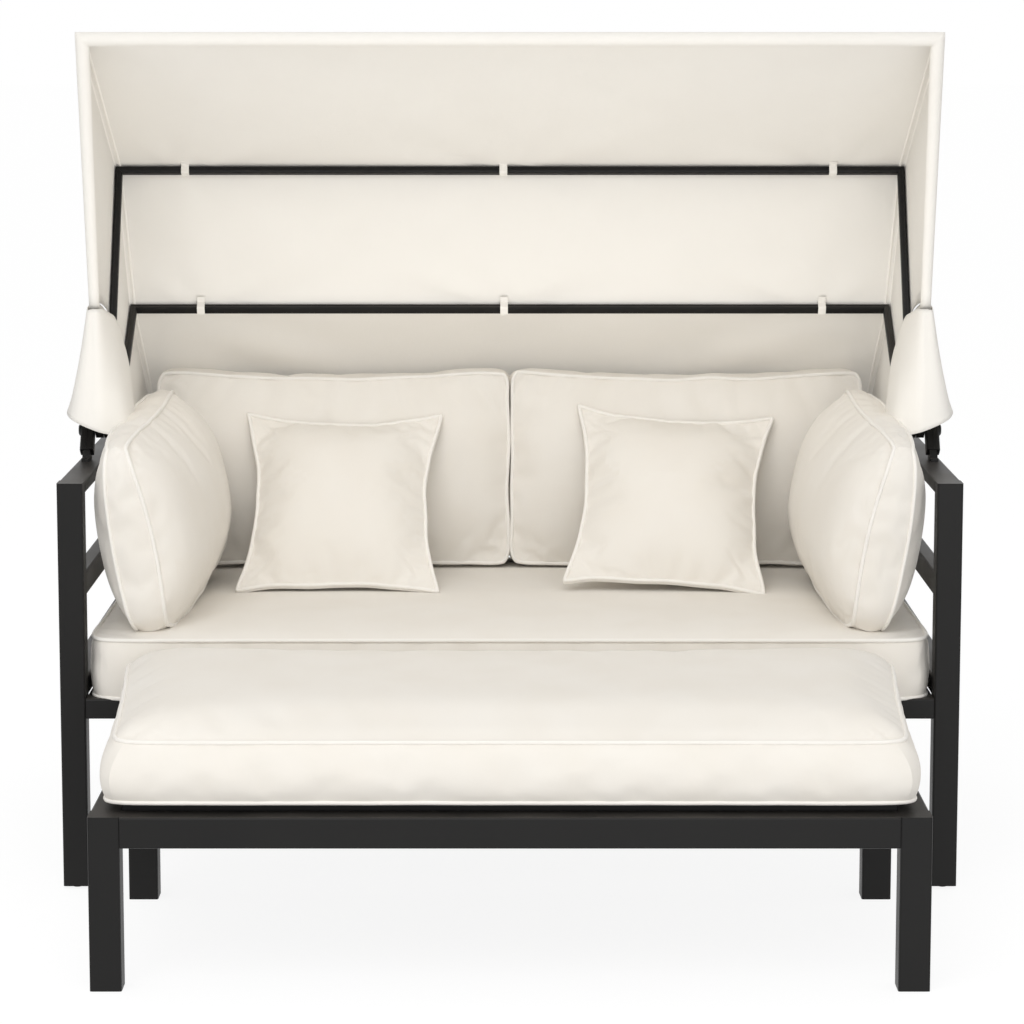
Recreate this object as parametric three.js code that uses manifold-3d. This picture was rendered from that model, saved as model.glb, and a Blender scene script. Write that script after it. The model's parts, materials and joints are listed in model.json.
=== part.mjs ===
// Outdoor daybed: a two-seat frame with arms, a folding canopy on three bows,
// loose cushions and a matching ottoman that stands in front of the seat.
// Millimetres. Seen from in front +X is to the right. +Y is the back and +Z is up.
import * as THREE from "three";
import { mergeVertices } from "three/addons/utils/BufferGeometryUtils.js";
import Module from "manifold-3d";

const wasm = await Module();
wasm.setup();

// Loveseat frame
const seatWidth = 1400;
const seatDepth = 840;
const armHeight = 641;
const backHeight = 670;
const legSize = 40;
const tubeWall = 2;
const tubeCorner = 3;
const armRailHeight = 20;
const middleRailTop = 488;
const middleRailHeight = 37;
const middleRailWidth = 25;
const seatRailTop = 303;
const seatRailHeight = 32;
const sideRailHeight = 30;
const backRailHeight = 40;

// Slatted deck and back, each one flat grille
const slatThickness = 6;
const slatWidth = 45;
const deckSlatCount = 13;
const backSlatCount = 12;
const grilleBorder = 35;
const deckBearerWidth = 12;

// Foot glides: a plug in the leg with a round foot under it
const glideHeight = 4;
const glideRadius = 7.5;
const glidePlugHeight = 25;
const glideSegments = 16;

// Canopy pivot
const hubFromFront = 315;
const hubAboveArm = 46;
const postWidth = 22;
const postWall = 2;
const postInset = 2;
const postLean = 35;
const postPastHub = 16;
const postAboveArm = 6;
const bracketWidth = 12;
const bracketFootDepth = 46;
const bracketFootHeight = 5;
const bracketInPost = 28;
const boltRadius = 5;
const boltHeadRadius = 9.5;
const boltHeadHeight = 4.5;
const nutRadius = 9.8;
const nutHeight = 5;
const boltDomeShares = { radius: 0.75, height: 0.85 };
const boltPastNut = 1.5;
const roundSegments = 24;

// Canopy bows: grooved tubes, stacked side by side on the pivot bolt
const bowThickness = 12;
const bowDepth = 14;
const bowCorner = 3;
const bowWall = 1.6;
const grooveWidth = 3;
const grooveDepth = 0.8;
const bowGap = 2;
const eyeRadius = 13;
const eyeInTube = 8;
const frontBowRadius = 650;
const middleBowRadius = 463;
const rearBowRadius = 325;
const frontBowAngle = 103.5;
const middleBowAngle = 62.6;
const rearBowAngle = 32.4;

// Canopy fabric
const clothThickness = 2;
const sleeveRadius = 11.3;
const skirtRadius = 206;
const skirtGap = 0.9;
const flapDrop = 100;
const topSag = 9;
const rearBillow = 34;
const sideSag = 5;
const wrinkleDepth = 5;
const skirtFoldDepth = 3;
const skirtFlare = 716;
const skirtHemOuterRise = 40;
const skirtHemInnerRise = -2;
const skirtHemFront = 92;
const skirtHemBack = 118;
const skirtInside = 8;

// Skirt: where its top line and its hem turn round the pivot, as angles and as shares
const skirtInnerAngles = [20, 50, 84];
const skirtFoldAngle = 4.2;
const skirtOuterAngle = 3;
const skirtEndAngle = 20;
const skirtHemShares = {
  innerBack: 0.2,
  innerRise: 0.5,
  turn: 0.5,
  innerFront: 0.7,
  frontRise: 0.33,
  outerFront: 0.8,
  outerRise: 0.85,
  sideRise: 1.05,
  rearRise: 1.2,
};

// Cushions
const seatCushionHeight = 92;
const seatCrown = 16;
const seatSwell = 4;
const seatCushionPlay = 4;
const seatCushionLip = 2;
const backCushionHeight = 341;
const backCushionThickness = 126;
const backCushionLean = 6;
const backCrown = 36;
const backSwell = 2;
const backCushionEndGap = 57.7;
const backCushionSplit = 4.6;
const backCushionPlay = 3;
const sidePillowLength = 560;
const sidePillowHeight = 322;
const sidePillowThickness = 48;
const sideInnerCrown = 84;
const sideOuterCrown = 46;
const sideSwell = 5;
const sidePillowFront = 8;
const sidePillowTilt = 10;
const sidePillowTurn = 6;
const sidePillowPitch = 2.4;
const sidePillowPlay = 3;
const sidePillowRoom = 196;
const throwSideGap = 12.5;
const throwMiddleGaps = { left: 116.5, right: 101.5 };
const throwLength = 380;
const throwEdge = 8;
const throwCrown = 62;
const throwLean = 43.5;
const throwRolls = { left: -0.5, right: -4.5 };

// How each cushion is shaped: how far its ends and its sides are drawn in, how square its
// corners are, how full its crown is along and across it, and the grid it is built on
const seatShares = {
  ends: 0.012,
  sides: 0.012,
  square: 20,
  along: 4,
  across: 4,
  columns: 12,
  rows: 8,
};
const backShares = {
  ends: 0.006,
  sides: 0.09,
  square: 14,
  along: 3.4,
  across: 2.6,
  columns: 10,
  rows: 8,
};
const sideShares = {
  ends: 0.035,
  sides: 0.05,
  square: 10,
  along: 4.4,
  across: 2.6,
  columns: 10,
  rows: 8,
};
const throwShares = {
  ends: 0.17,
  sides: 0.12,
  square: 40,
  along: 2.2,
  across: 2.2,
  columns: 10,
  rows: 10,
};
const ottomanShares = {
  ends: 0.008,
  sides: 0.008,
  square: 16,
  along: 8,
  across: 7,
  columns: 12,
  rows: 8,
};

// Ottoman
const ottomanWidth = 1180;
const ottomanDepth = 560;
const ottomanHeight = 250;
const ottomanTube = 45;
const ottomanRailHeight = 45;
const ottomanGap = 22;
const ottomanDeckRise = 16;
const ottomanDeckThickness = 20;
const ottomanSlatCount = 11;
const drainRadius = 4;
const ottomanCushionHeight = 86;
const ottomanCrown = 44;
const ottomanSwell = 16;
const ottomanCushionEndInset = 18;
const ottomanCushionInset = 18;

// Running fits and the space between turned neighbours
const runningFit = 0.1;
const fit = 0.3;
const overrun = 10;

const finishes = {
  frame: { color: 0x1e1e1f, roughness: 0.55, metalness: 0.35 },
  foot: { color: 0x151515, roughness: 0.7, metalness: 0 },
  bolt: { color: 0x2b2b2c, roughness: 0.4, metalness: 0.8 },
  canopy: { color: 0xf3efe6, roughness: 0.9, metalness: 0 },
  cushion: { color: 0xf6ede0, roughness: 0.92, metalness: 0 },
};

const daybed = new THREE.Group();
const X = new THREE.Vector3(1, 0, 0);
const Y = new THREE.Vector3(0, 1, 0);
const Z = new THREE.Vector3(0, 0, 1);
const degrees = THREE.MathUtils.degToRad;
const sides = [
  { name: "left", sign: -1 },
  { name: "right", sign: 1 },
];

// A named piece in its own material, added to a group
function piece(name, finish, geometry, parent = daybed) {
  const material = new THREE.MeshStandardMaterial(finishes[finish]);
  const mesh = new THREE.Mesh(geometry, material);
  mesh.name = name;
  parent.add(mesh);
  return mesh;
}

// Joins and cuts on closed geometries
function solidOf(geometry) {
  const bare = geometry.clone();
  bare.deleteAttribute("normal");
  bare.deleteAttribute("uv");
  const merged = mergeVertices(bare);
  return new wasm.Manifold(
    new wasm.Mesh({
      numProp: 3,
      vertProperties: merged.attributes.position.array,
      triVerts: new Uint32Array(merged.index.array),
    }),
  );
}

function geometryOf(solid) {
  const mesh = solid.getMesh();
  const geometry = new THREE.BufferGeometry();
  const positions = new THREE.BufferAttribute(mesh.vertProperties, 3);
  geometry.setAttribute("position", positions);
  geometry.setIndex(new THREE.BufferAttribute(mesh.triVerts, 1));
  return geometry;
}

function joined(first, ...others) {
  return geometryOf(others.reduce((a, b) => a.add(solidOf(b)), solidOf(first)));
}

function cut(first, ...others) {
  return geometryOf(
    others.reduce((a, b) => a.subtract(solidOf(b)), solidOf(first)),
  );
}

// A rectangle with rounded corners, centred on the origin, as a point list
function roundedRectangle(width, height, corner, steps = 2) {
  const points = [];
  const centres = [
    [width / 2 - corner, height / 2 - corner],
    [corner - width / 2, height / 2 - corner],
    [corner - width / 2, corner - height / 2],
    [width / 2 - corner, corner - height / 2],
  ];
  centres.forEach(([x, y], quarter) => {
    for (let i = 0; i <= steps; i++) {
      const angle = (Math.PI / 2) * (quarter + i / steps);
      points.push(
        new THREE.Vector2(
          x + corner * Math.cos(angle),
          y + corner * Math.sin(angle),
        ),
      );
    }
  });
  return points;
}

function rectangle(width, height) {
  return [
    new THREE.Vector2(width / 2, height / 2),
    new THREE.Vector2(-width / 2, height / 2),
    new THREE.Vector2(-width / 2, -height / 2),
    new THREE.Vector2(width / 2, -height / 2),
  ];
}

function prism(outline, length, holes = []) {
  const shape = new THREE.Shape(outline);
  for (const hole of holes) shape.holes.push(new THREE.Path(hole));
  const geometry = new THREE.ExtrudeGeometry(shape, {
    depth: length,
    bevelEnabled: false,
    curveSegments: 1,
    steps: 1,
  });
  return geometry.translate(0, 0, -length / 2);
}

// Turns a prism's own axis from Z to the named one, without a mirror
function along(axis, geometry) {
  const turned = {
    x: [Y, Z, X],
    y: [Z, X, Y],
    z: [X, Y, Z],
  }[axis];
  return geometry.applyMatrix4(new THREE.Matrix4().makeBasis(...turned));
}

// Turns a prism to run along Y, with its broad faces to the front and back
function upright(geometry) {
  const back = new THREE.Vector3(0, 0, -1);
  return geometry.applyMatrix4(new THREE.Matrix4().makeBasis(X, back, Y));
}

const crossAxes = { x: ["y", "z"], y: ["z", "x"], z: ["x", "y"] };

// A box tube that fills the space between two corners, open or capped at its ends
function tube(axis, low, high, wall, corner, caps = { low: false, high: false }) {
  const size = new THREE.Vector3().subVectors(high, low);
  const centre = new THREE.Vector3().addVectors(low, high).multiplyScalar(1 / 2);
  const [a, b] = crossAxes[axis];
  const outline = roundedRectangle(size[a], size[b], corner);
  const bore = rectangle(size[a] - 2 * wall, size[b] - 2 * wall);
  let geometry;
  if (caps.low || caps.high) {
    const start = caps.low ? wall : -overrun;
    const end = caps.high ? wall : -overrun;
    const hollow = prism(bore, size[axis] - start - end);
    hollow.translate(0, 0, (start - end) / 2);
    geometry = cut(prism(outline, size[axis]), hollow);
  } else {
    geometry = prism(outline, size[axis], [bore]);
  }
  return along(axis, geometry).translate(centre.x, centre.y, centre.z);
}

function box(low, high) {
  const size = new THREE.Vector3().subVectors(high, low);
  const geometry = new THREE.BoxGeometry(size.x, size.y, size.z);
  return geometry.translate(
    (low.x + high.x) / 2,
    (low.y + high.y) / 2,
    (low.z + high.z) / 2,
  );
}

const at = (x, y, z) => new THREE.Vector3(x, y, z);

// Loveseat frame, with its front plane at y = 0
const legInner = seatWidth / 2 - legSize;
const armMiddle = seatWidth / 2 - legSize / 2;

function buildLegs() {
  const places = {
    front: { y: 0, top: armHeight },
    rear: { y: seatDepth - legSize, top: backHeight },
  };
  for (const [end, place] of Object.entries(places)) {
    for (const { name, sign } of sides) {
      const low = at(legInner, place.y, glideHeight);
      const high = at(seatWidth / 2, place.y + legSize, place.top);
      const leg = tube("z", low, high, tubeWall, tubeCorner, { high: true });
      leg.translate(-armMiddle, 0, 0);
      piece(`${end}_leg_${name}`, "frame", leg).position.x = sign * armMiddle;
      const bore = legSize - 2 * tubeWall - 2 * fit;
      const plug = prism(rectangle(bore, bore), glidePlugHeight);
      plug.translate(0, 0, glideHeight + glidePlugHeight / 2);
      const foot = prism(
        new THREE.Path().absarc(0, 0, glideRadius).getPoints(glideSegments).slice(1),
        glideHeight + glidePlugHeight / 2,
      );
      foot.translate(0, 0, (glideHeight + glidePlugHeight / 2) / 2);
      const glide = piece(`${end}_foot_glide_${name}`, "foot", joined(plug, foot));
      glide.position.set(sign * armMiddle, place.y + legSize / 2, 0);
    }
  }
}

function sideRail(name, sign, top, height, width) {
  const low = at(-width / 2, legSize, top - height);
  const high = at(width / 2, seatDepth - legSize, top);
  const rail = tube("y", low, high, tubeWall, tubeCorner);
  piece(name, "frame", rail).position.x = sign * armMiddle;
}

function crossRail(name, front, depth, top, height) {
  const low = at(-legInner, front, top - height);
  const high = at(legInner, front + depth, top);
  piece(name, "frame", tube("x", low, high, tubeWall, tubeCorner));
}

// A flat grille: a plate with one slot between each two slats
function grille(width, length, slats, border, thickness) {
  const opening = width - 2 * border;
  const gap = (opening - (slats - 2) * slatWidth) / (slats - 1);
  const holes = [];
  for (let i = 0; i < slats - 1; i++) {
    const middle = -opening / 2 + gap / 2 + i * (gap + slatWidth);
    const slot = roundedRectangle(gap, length - 2 * border, tubeCorner, 1);
    holes.push(slot.map((p) => p.add(new THREE.Vector2(middle, 0))));
  }
  return prism(rectangle(width, length), thickness, holes);
}

function buildSeatFrame() {
  for (const { name, sign } of sides) {
    sideRail(`arm_rail_${name}`, sign, armHeight, armRailHeight, legSize);
    sideRail(
      `arm_middle_rail_${name}`,
      sign,
      middleRailTop,
      middleRailHeight,
      middleRailWidth,
    );
    sideRail(
      `seat_side_rail_${name}`,
      sign,
      seatRailTop + sideRailHeight,
      sideRailHeight,
      legSize,
    );
  }
  const rear = seatDepth - legSize;
  crossRail("seat_front_rail", 0, legSize, seatRailTop, seatRailHeight);
  crossRail("seat_rear_rail", rear, legSize, seatRailTop, seatRailHeight);
  crossRail("back_top_rail", rear, legSize, backHeight, backRailHeight);

  const deckLength = seatDepth - 2 * legSize;
  const deck = grille(
    2 * legInner,
    deckLength,
    deckSlatCount,
    grilleBorder,
    slatThickness,
  );
  const bearer = box(
    at(-legInner, -deckBearerWidth / 2, -seatRailHeight + slatThickness / 2),
    at(legInner, deckBearerWidth / 2, 0),
  );
  const deckPiece = piece("seat_deck", "frame", joined(deck, bearer));
  deckPiece.position.set(0, seatDepth / 2, seatRailTop - slatThickness / 2);

  const backLength = backHeight - backRailHeight - seatRailTop;
  const back = grille(
    2 * legInner,
    backLength,
    backSlatCount,
    grilleBorder,
    slatThickness,
  );
  const backPiece = piece("back_panel", "frame", back);
  backPiece.rotation.x = Math.PI / 2;
  backPiece.position.set(
    0,
    seatDepth - legSize / 2,
    seatRailTop + backLength / 2,
  );
}

// Canopy pivot: a leaning post on each arm carries one bolt for the three bows
const hub = at(0, hubFromFront, armHeight + hubAboveArm);
const postOuter = seatWidth / 2 - postInset;
const frontBowOuter = postOuter - postWidth - bowGap;
const holeRadius = (boltRadius + runningFit) / Math.cos(Math.PI / roundSegments);

function roundBar(radius, length, segments = roundSegments) {
  return new THREE.CylinderGeometry(radius, radius, length, segments).rotateZ(
    Math.PI / 2,
  );
}

// A tube outline with a shallow groove down the middle of its two broad faces
function groovedOutline(thickness, depth, corner) {
  const points = roundedRectangle(thickness, depth, corner);
  const groove = (side) =>
    [
      [-grooveWidth / 2, depth / 2],
      [-grooveWidth / 2, depth / 2 - grooveDepth],
      [grooveWidth / 2, depth / 2 - grooveDepth],
      [grooveWidth / 2, depth / 2],
    ].map(([x, y]) => new THREE.Vector2(-side * x, side * y));
  const perCorner = points.length / 4;
  return [
    ...points.slice(0, perCorner),
    ...groove(1),
    ...points.slice(perCorner, 3 * perCorner),
    ...groove(-1),
    ...points.slice(3 * perCorner),
  ];
}

function turnedGroup(angle) {
  const group = new THREE.Group();
  group.position.copy(hub);
  group.rotation.x = degrees(angle);
  daybed.add(group);
  return group;
}

function buildPivots() {
  const postAngle = 90 - postLean;
  const lean = degrees(postAngle);
  const below =
    (hubAboveArm - postAboveArm - (postWidth / 2) * Math.cos(lean)) /
    Math.sin(lean);
  const bore = postWidth - 2 * postWall;
  for (const { name, sign } of sides) {
    const middle = sign * (postOuter - postWidth / 2);
    const outline = groovedOutline(postWidth, postWidth, tubeCorner);
    const post = prism(outline, below + postPastHub, [rectangle(bore, bore)]);
    upright(post).translate(0, (postPastHub - below) / 2, 0);
    const drilled = cut(post, roundBar(holeRadius, postWidth + overrun));
    const group = turnedGroup(postAngle);
    piece(`canopy_post_${name}`, "frame", drilled, group).position.x = middle;

    const tongue = box(
      at(-bracketWidth / 2, -below - hubAboveArm, -bore / 2 + fit),
      at(bracketWidth / 2, bracketInPost - below, bore / 2 - fit),
    );
    tongue.rotateX(lean).translate(0, 0, hubAboveArm);
    const footMiddle = -(hubAboveArm - bracketFootHeight) / Math.tan(lean);
    const foot = box(
      at(-bracketWidth / 2, footMiddle - bracketFootDepth / 2, 0),
      at(bracketWidth / 2, footMiddle + bracketFootDepth / 2, bracketFootHeight),
    );
    const under = box(
      at(-postWidth, -armHeight, -armHeight),
      at(postWidth, armHeight, 0),
    );
    const bracket = cut(joined(tongue, foot), under);
    const bracketPiece = piece(`canopy_bracket_${name}`, "frame", bracket);
    bracketPiece.position.set(middle, hubFromFront, armHeight);

    const inner = frontBowOuter - 3 * bowThickness - 2 * bowGap;
    const nutOuter = inner - fit;
    const shankEnd = nutOuter - nutHeight - boltPastNut;
    const headFace = postOuter + fit;
    const profile = [
      [0, shankEnd],
      [boltRadius, shankEnd],
      [boltRadius, headFace],
      [boltHeadRadius, headFace],
      [boltHeadRadius, headFace + boltHeadHeight / 2],
      [
        boltHeadRadius * boltDomeShares.radius,
        headFace + boltHeadHeight * boltDomeShares.height,
      ],
      [0, headFace + boltHeadHeight],
    ].map(([r, x]) => new THREE.Vector2(r, x));
    const bolt = new THREE.LatheGeometry(profile, roundSegments);
    bolt.rotateZ((-sign * Math.PI) / 2);
    const boltPiece = piece(`pivot_bolt_${name}`, "bolt", outward(bolt));
    boltPiece.position.copy(hub);

    const nut = cut(
      roundBar(nutRadius, nutHeight, 6),
      roundBar(holeRadius, nutHeight + overrun),
    );
    const nutPiece = piece(`pivot_nut_${name}`, "bolt", nut);
    nutPiece.position.set(sign * (nutOuter - nutHeight / 2), hub.y, hub.z);
  }
}

// Each bow is a bar and two legs, mitred at the corners
const bows = ["front", "middle", "rear"].map((name, i) => ({
  name,
  radius: [frontBowRadius, middleBowRadius, rearBowRadius][i],
  angle: [frontBowAngle, middleBowAngle, rearBowAngle][i],
  half: frontBowOuter - bowThickness / 2 - i * (bowThickness + bowGap),
}));

function bowTube(length) {
  const outline = groovedOutline(bowThickness, bowDepth, bowCorner);
  const bore = rectangle(bowThickness - 2 * bowWall, bowDepth - 2 * bowWall);
  return prism(outline, length, [bore]);
}

function buildBow({ name, radius, angle, half }) {
  const group = turnedGroup(angle);
  // The bar runs along X; its section's own x becomes the radial direction.
  const bar = bowTube(2 * half);
  const ends = bar.attributes.position;
  for (let i = 0; i < ends.count; i++) {
    const end = Math.sign(ends.getZ(i));
    ends.setZ(i, end * (half + ends.getX(i) - fit * Math.SQRT2));
  }
  along("x", bar);
  piece(`${name}_bow_bar`, "frame", bar, group).position.y = radius;

  for (const { name: side, sign } of sides) {
    const leg = bowTube(radius - eyeInTube);
    const points = leg.attributes.position;
    for (let i = 0; i < points.count; i++) {
      const top = points.getZ(i) > 0;
      const out = points.getX(i);
      points.setZ(i, top ? radius + out : eyeInTube);
    }
    upright(leg);
    const eye = roundBar(eyeRadius, bowThickness);
    const hole = roundBar(holeRadius, bowThickness + overrun);
    const drilled = cut(joined(leg, eye), hole);
    drilled.scale(sign, 1, 1);
    const legPiece = piece(`${name}_bow_leg_${side}`, "frame", outward(drilled), group);
    legPiece.position.x = sign * half;
  }
}

// Turns a closed geometry right side out
function outward(geometry) {
  const flat = geometry.index ? geometry.toNonIndexed() : geometry.clone();
  const p = flat.attributes.position;
  const a = new THREE.Vector3();
  const b = new THREE.Vector3();
  const c = new THREE.Vector3();
  let volume = 0;
  for (let i = 0; i < p.count; i += 3) {
    a.fromBufferAttribute(p, i);
    b.fromBufferAttribute(p, i + 1);
    c.fromBufferAttribute(p, i + 2);
    volume += a.dot(b.cross(c));
  }
  if (volume > 0) return flat;
  for (let i = 0; i < p.count; i += 3) {
    b.fromBufferAttribute(p, i + 1);
    c.fromBufferAttribute(p, i + 2);
    p.setXYZ(i + 1, c.x, c.y, c.z);
    p.setXYZ(i + 2, b.x, b.y, b.z);
  }
  return flat;
}

// A closed skin between two grids of points of the same size
function skinBetween(outer, inner) {
  const rows = outer.length;
  const columns = outer[0].length;
  const positions = [...outer.flat(), ...inner.flat()].flatMap((p) => p.toArray());
  const index = [];
  const quad = (a, b, c, d) => index.push(a, b, c, a, c, d);
  const o = (r, c) => r * columns + c;
  const n = (r, c) => rows * columns + r * columns + c;
  for (let r = 0; r < rows - 1; r++) {
    for (let c = 0; c < columns - 1; c++) {
      quad(o(r, c), o(r, c + 1), o(r + 1, c + 1), o(r + 1, c));
      quad(n(r, c), n(r + 1, c), n(r + 1, c + 1), n(r, c + 1));
    }
  }
  for (let c = 0; c < columns - 1; c++) {
    quad(o(0, c + 1), o(0, c), n(0, c), n(0, c + 1));
    quad(o(rows - 1, c), o(rows - 1, c + 1), n(rows - 1, c + 1), n(rows - 1, c));
  }
  for (let r = 0; r < rows - 1; r++) {
    quad(o(r, 0), o(r + 1, 0), n(r + 1, 0), n(r, 0));
    quad(
      o(r + 1, columns - 1),
      o(r, columns - 1),
      n(r, columns - 1),
      n(r + 1, columns - 1),
    );
  }
  const geometry = new THREE.BufferGeometry();
  geometry.setAttribute("position", new THREE.Float32BufferAttribute(positions, 3));
  geometry.setIndex(index);
  return outward(geometry);
}

// Canopy fabric. A line runs up one leg of a bow, over its bar and down the other leg.
const legShares = [0, 0.3, 0.6, 0.85];
const topShares = [-0.93, -0.75, -0.5, -0.25, 0, 0.25, 0.5, 0.75, 0.93];

const bowLineStations = [
  ...legShares.map((share) => ({ leg: share, sign: -1 })),
  { corner: true, sign: -1 },
  ...topShares.map((share) => ({ top: share })),
  { corner: true, sign: 1 },
  ...legShares.toReversed().map((share) => ({ leg: share, sign: 1 })),
];

function bowLine({ radius, angle, half }, out, ahead) {
  const turn = degrees(angle);
  return bowLineStations.map(({ leg, top, corner, sign }) => {
    const onLeg = leg !== undefined;
    const x = top !== undefined ? top * (half + out) : sign * (half + out);
    const reach = onLeg ? skirtRadius + leg * (radius - skirtRadius) : radius + out;
    return at(
      x,
      hub.y + reach * Math.cos(turn) - ahead * Math.sin(turn),
      hub.z + reach * Math.sin(turn) + ahead * Math.cos(turn),
    );
  });
}

// The fabric from one line to the next, slack by its sag in the middle
const spanShares = [0, 0.2, 0.4, 0.6, 0.8, 1];

function span(start, end, sag, wrinkle = 0) {
  return spanShares.map((share) => {
    const slack = Math.sin(Math.PI * share);
    return start.map((p, i) => {
      const { leg, top, sign } = bowLineStations[i];
      const point = p.clone().lerp(end[i], share);
      if (top !== undefined) {
        const across = 1 - top * top;
        const ripple = wrinkle * Math.sin(Math.PI * (3 * Math.abs(top) + 2 * share));
        const inward = hub.clone().setX(point.x).sub(point).normalize();
        point.addScaledVector(inward, slack * (sag * across + ripple));
      } else if (leg !== undefined) {
        point.x -= sign * slack * sideSag * Math.sin(Math.PI * leg);
        // The lower edge keeps to its arc round the pivot
        const reaches = [p, end[i], point].map((q) =>
          Math.hypot(q.y - hub.y, q.z - hub.z),
        );
        const arc = THREE.MathUtils.lerp(reaches[0], reaches[1], share) / reaches[2];
        const pull = THREE.MathUtils.lerp(arc, 1, leg);
        point.y = hub.y + (point.y - hub.y) * pull;
        point.z = hub.z + (point.z - hub.z) * pull;
      }
      return point;
    });
  });
}

// The angle below the bar's own tangent at which the fabric leaves it for the next bar
function leavingAngle(first, second) {
  const [from, to] = [first, second].map(
    ({ radius, angle }) =>
      new THREE.Vector2(
        radius * Math.cos(degrees(angle)),
        radius * Math.sin(degrees(angle)),
      ),
  );
  const way = to.sub(from).rotateAround(new THREE.Vector2(), -degrees(first.angle));
  return Math.atan2(-way.x, -way.y);
}

// The sleeve starts behind the bar, comes round its front and leaves for the next bar
const sleeveTurns = [300, 252, 204, 156, 108, 54, 0];

function sleeve(bow, next, radius) {
  const leave = leavingAngle(bow, next);
  return sleeveTurns.map((turn) => {
    const a = degrees(turn) - leave;
    return bowLine(bow, radius * Math.cos(a), radius * Math.sin(a));
  });
}

// Over a bare bar the fabric lies on its outer face and turns down behind it
function overBar(bow, lift) {
  const behind = bowDepth / 2 + fit + lift / 2;
  return [-fit, -behind].map((ahead) => bowLine(bow, bow.cloth + lift, ahead));
}

function section(startRows, endLine, sag, wrinkle) {
  const straight = span(startRows.at(-1), endLine, sag, wrinkle);
  return [...startRows.slice(0, -1), ...straight];
}

// Skirt: a bell of cloth round the pivot, from the inside round the front to the outside
function skirtCurves() {
  const [frontBow, middleBow, rearBow] = bows;
  const inside = rearBow.half - bowThickness / 2 - skirtInside + fit;
  const top = (x, angle, reach = skirtRadius - skirtGap) => {
    const a = degrees(angle);
    return at(-x, hub.y + reach * Math.cos(a), hub.z + reach * Math.sin(a));
  };
  const fold = frontBowAngle + skirtFoldAngle;
  const outside = (bow) => bow.half + bow.cloth + clothThickness;
  const topLine = [
    ...skirtInnerAngles.map((angle) => top(inside, angle)),
    top(frontBow.half, fold),
    top(outside(frontBow), frontBowAngle - skirtOuterAngle),
    top(outside(middleBow), middleBowAngle),
    top(outside(rearBow), skirtEndAngle),
  ];
  const hem = (x, y, rise) => at(-x, hub.y + y, hub.z + rise);
  const shares = skirtHemShares;
  const rise = (share) => share * skirtHemOuterRise;
  const turnX = inside + shares.turn * skirtInside;
  const hemLine = [
    hem(inside, skirtHemBack, skirtHemOuterRise),
    hem(inside, skirtHemBack * shares.innerBack, rise(shares.innerRise)),
    hem(turnX, -skirtHemFront * shares.innerFront, skirtHemInnerRise),
    hem(frontBow.half, -skirtHemFront, rise(shares.frontRise)),
    hem(skirtFlare - skirtInside, -skirtHemFront * shares.outerFront, rise(shares.outerRise)),
    hem(skirtFlare, 0, rise(shares.sideRise)),
    hem(skirtFlare - 2 * skirtInside, skirtHemBack, rise(shares.rearRise)),
  ];
  return [topLine, hemLine].map((points) => new THREE.CatmullRomCurve3(points));
}

const skirtColumns = 18;
const skirtRows = 5;

function skirtGrids() {
  const [topCurve, hemCurve] = skirtCurves();
  const grid = [];
  for (let r = 0; r <= skirtRows; r++) {
    const drop = r / skirtRows;
    const row = [];
    for (let c = 0; c <= skirtColumns; c++) {
      const turn = c / skirtColumns;
      const top = topCurve.getPoint(turn);
      const reach = Math.hypot(top.y - hub.y, top.z - hub.z);
      const pull = (skirtRadius - skirtGap) / reach;
      top.y = hub.y + (top.y - hub.y) * pull;
      top.z = hub.z + (top.z - hub.z) * pull;
      const point = top.lerp(hemCurve.getPoint(turn), drop);
      const outer = Math.max(0, turn - 0.5) * 2;
      point.x -= outer * drop * skirtFoldDepth * Math.sin(6 * Math.PI * turn);
      row.push(point);
    }
    grid.push(row);
  }
  return [grid, thickened(grid, clothThickness)];
}

// The same grid moved off by a thickness along its own normals
function thickened(grid, thickness) {
  return grid.map((row, r) =>
    row.map((point, c) => {
      const across = grid[r][Math.min(c + 1, row.length - 1)].clone();
      across.sub(grid[r][Math.max(c - 1, 0)]);
      const down = grid[Math.min(r + 1, grid.length - 1)][c].clone();
      down.sub(grid[Math.max(r - 1, 0)][c]);
      const normal = across.cross(down).normalize();
      return point.clone().addScaledVector(normal, thickness);
    }),
  );
}

function buildCanopy() {
  const [front, middle, rear] = bows;
  front.cloth = sleeveRadius - clothThickness;
  middle.cloth = bowThickness / 2 + fit;
  rear.cloth = bowThickness / 2 + fit;
  bows.forEach(buildBow);

  // The fabric ends over the back rail, as on a fourth bow that is not there
  const backY = seatDepth + fit;
  const backZ = backHeight + fit;
  const back = {
    half: rear.half,
    radius: Math.hypot(backY - hub.y, backZ - hub.z),
    angle: (Math.atan2(backZ - hub.z, backY - hub.y) * 180) / Math.PI,
    cloth: fit,
  };
  const lifts = [clothThickness, 0];
  const frontGrids = lifts.map((lift) =>
    section(
      sleeve(front, middle, sleeveRadius - clothThickness + lift),
      bowLine(middle, middle.cloth + lift, fit),
      topSag,
    ),
  );
  const middleGrids = lifts.map((lift) =>
    section(overBar(middle, lift), bowLine(rear, rear.cloth + lift, fit), topSag),
  );
  const rearGrids = lifts.map((lift) =>
    section(
      overBar(rear, lift),
      bowLine(back, back.cloth + lift, fit),
      -rearBillow,
      wrinkleDepth,
    ),
  );
  piece("canopy_front_section", "canopy", skinBetween(...frontGrids));
  piece("canopy_middle_section", "canopy", skinBetween(...middleGrids));
  const rearSpan = skinBetween(...rearGrids);
  const flap = box(
    at(-back.half, backY, backHeight - flapDrop),
    at(back.half, backY + clothThickness, backZ + clothThickness),
  );
  piece("canopy_rear_section", "canopy", joined(rearSpan, flap));
  for (const { name, sign } of sides) {
    const skirt = skinBetween(...skirtGrids()).scale(-sign, 1, 1);
    piece(`canopy_skirt_${name}`, "canopy", outward(skirt));
  }
}

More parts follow.
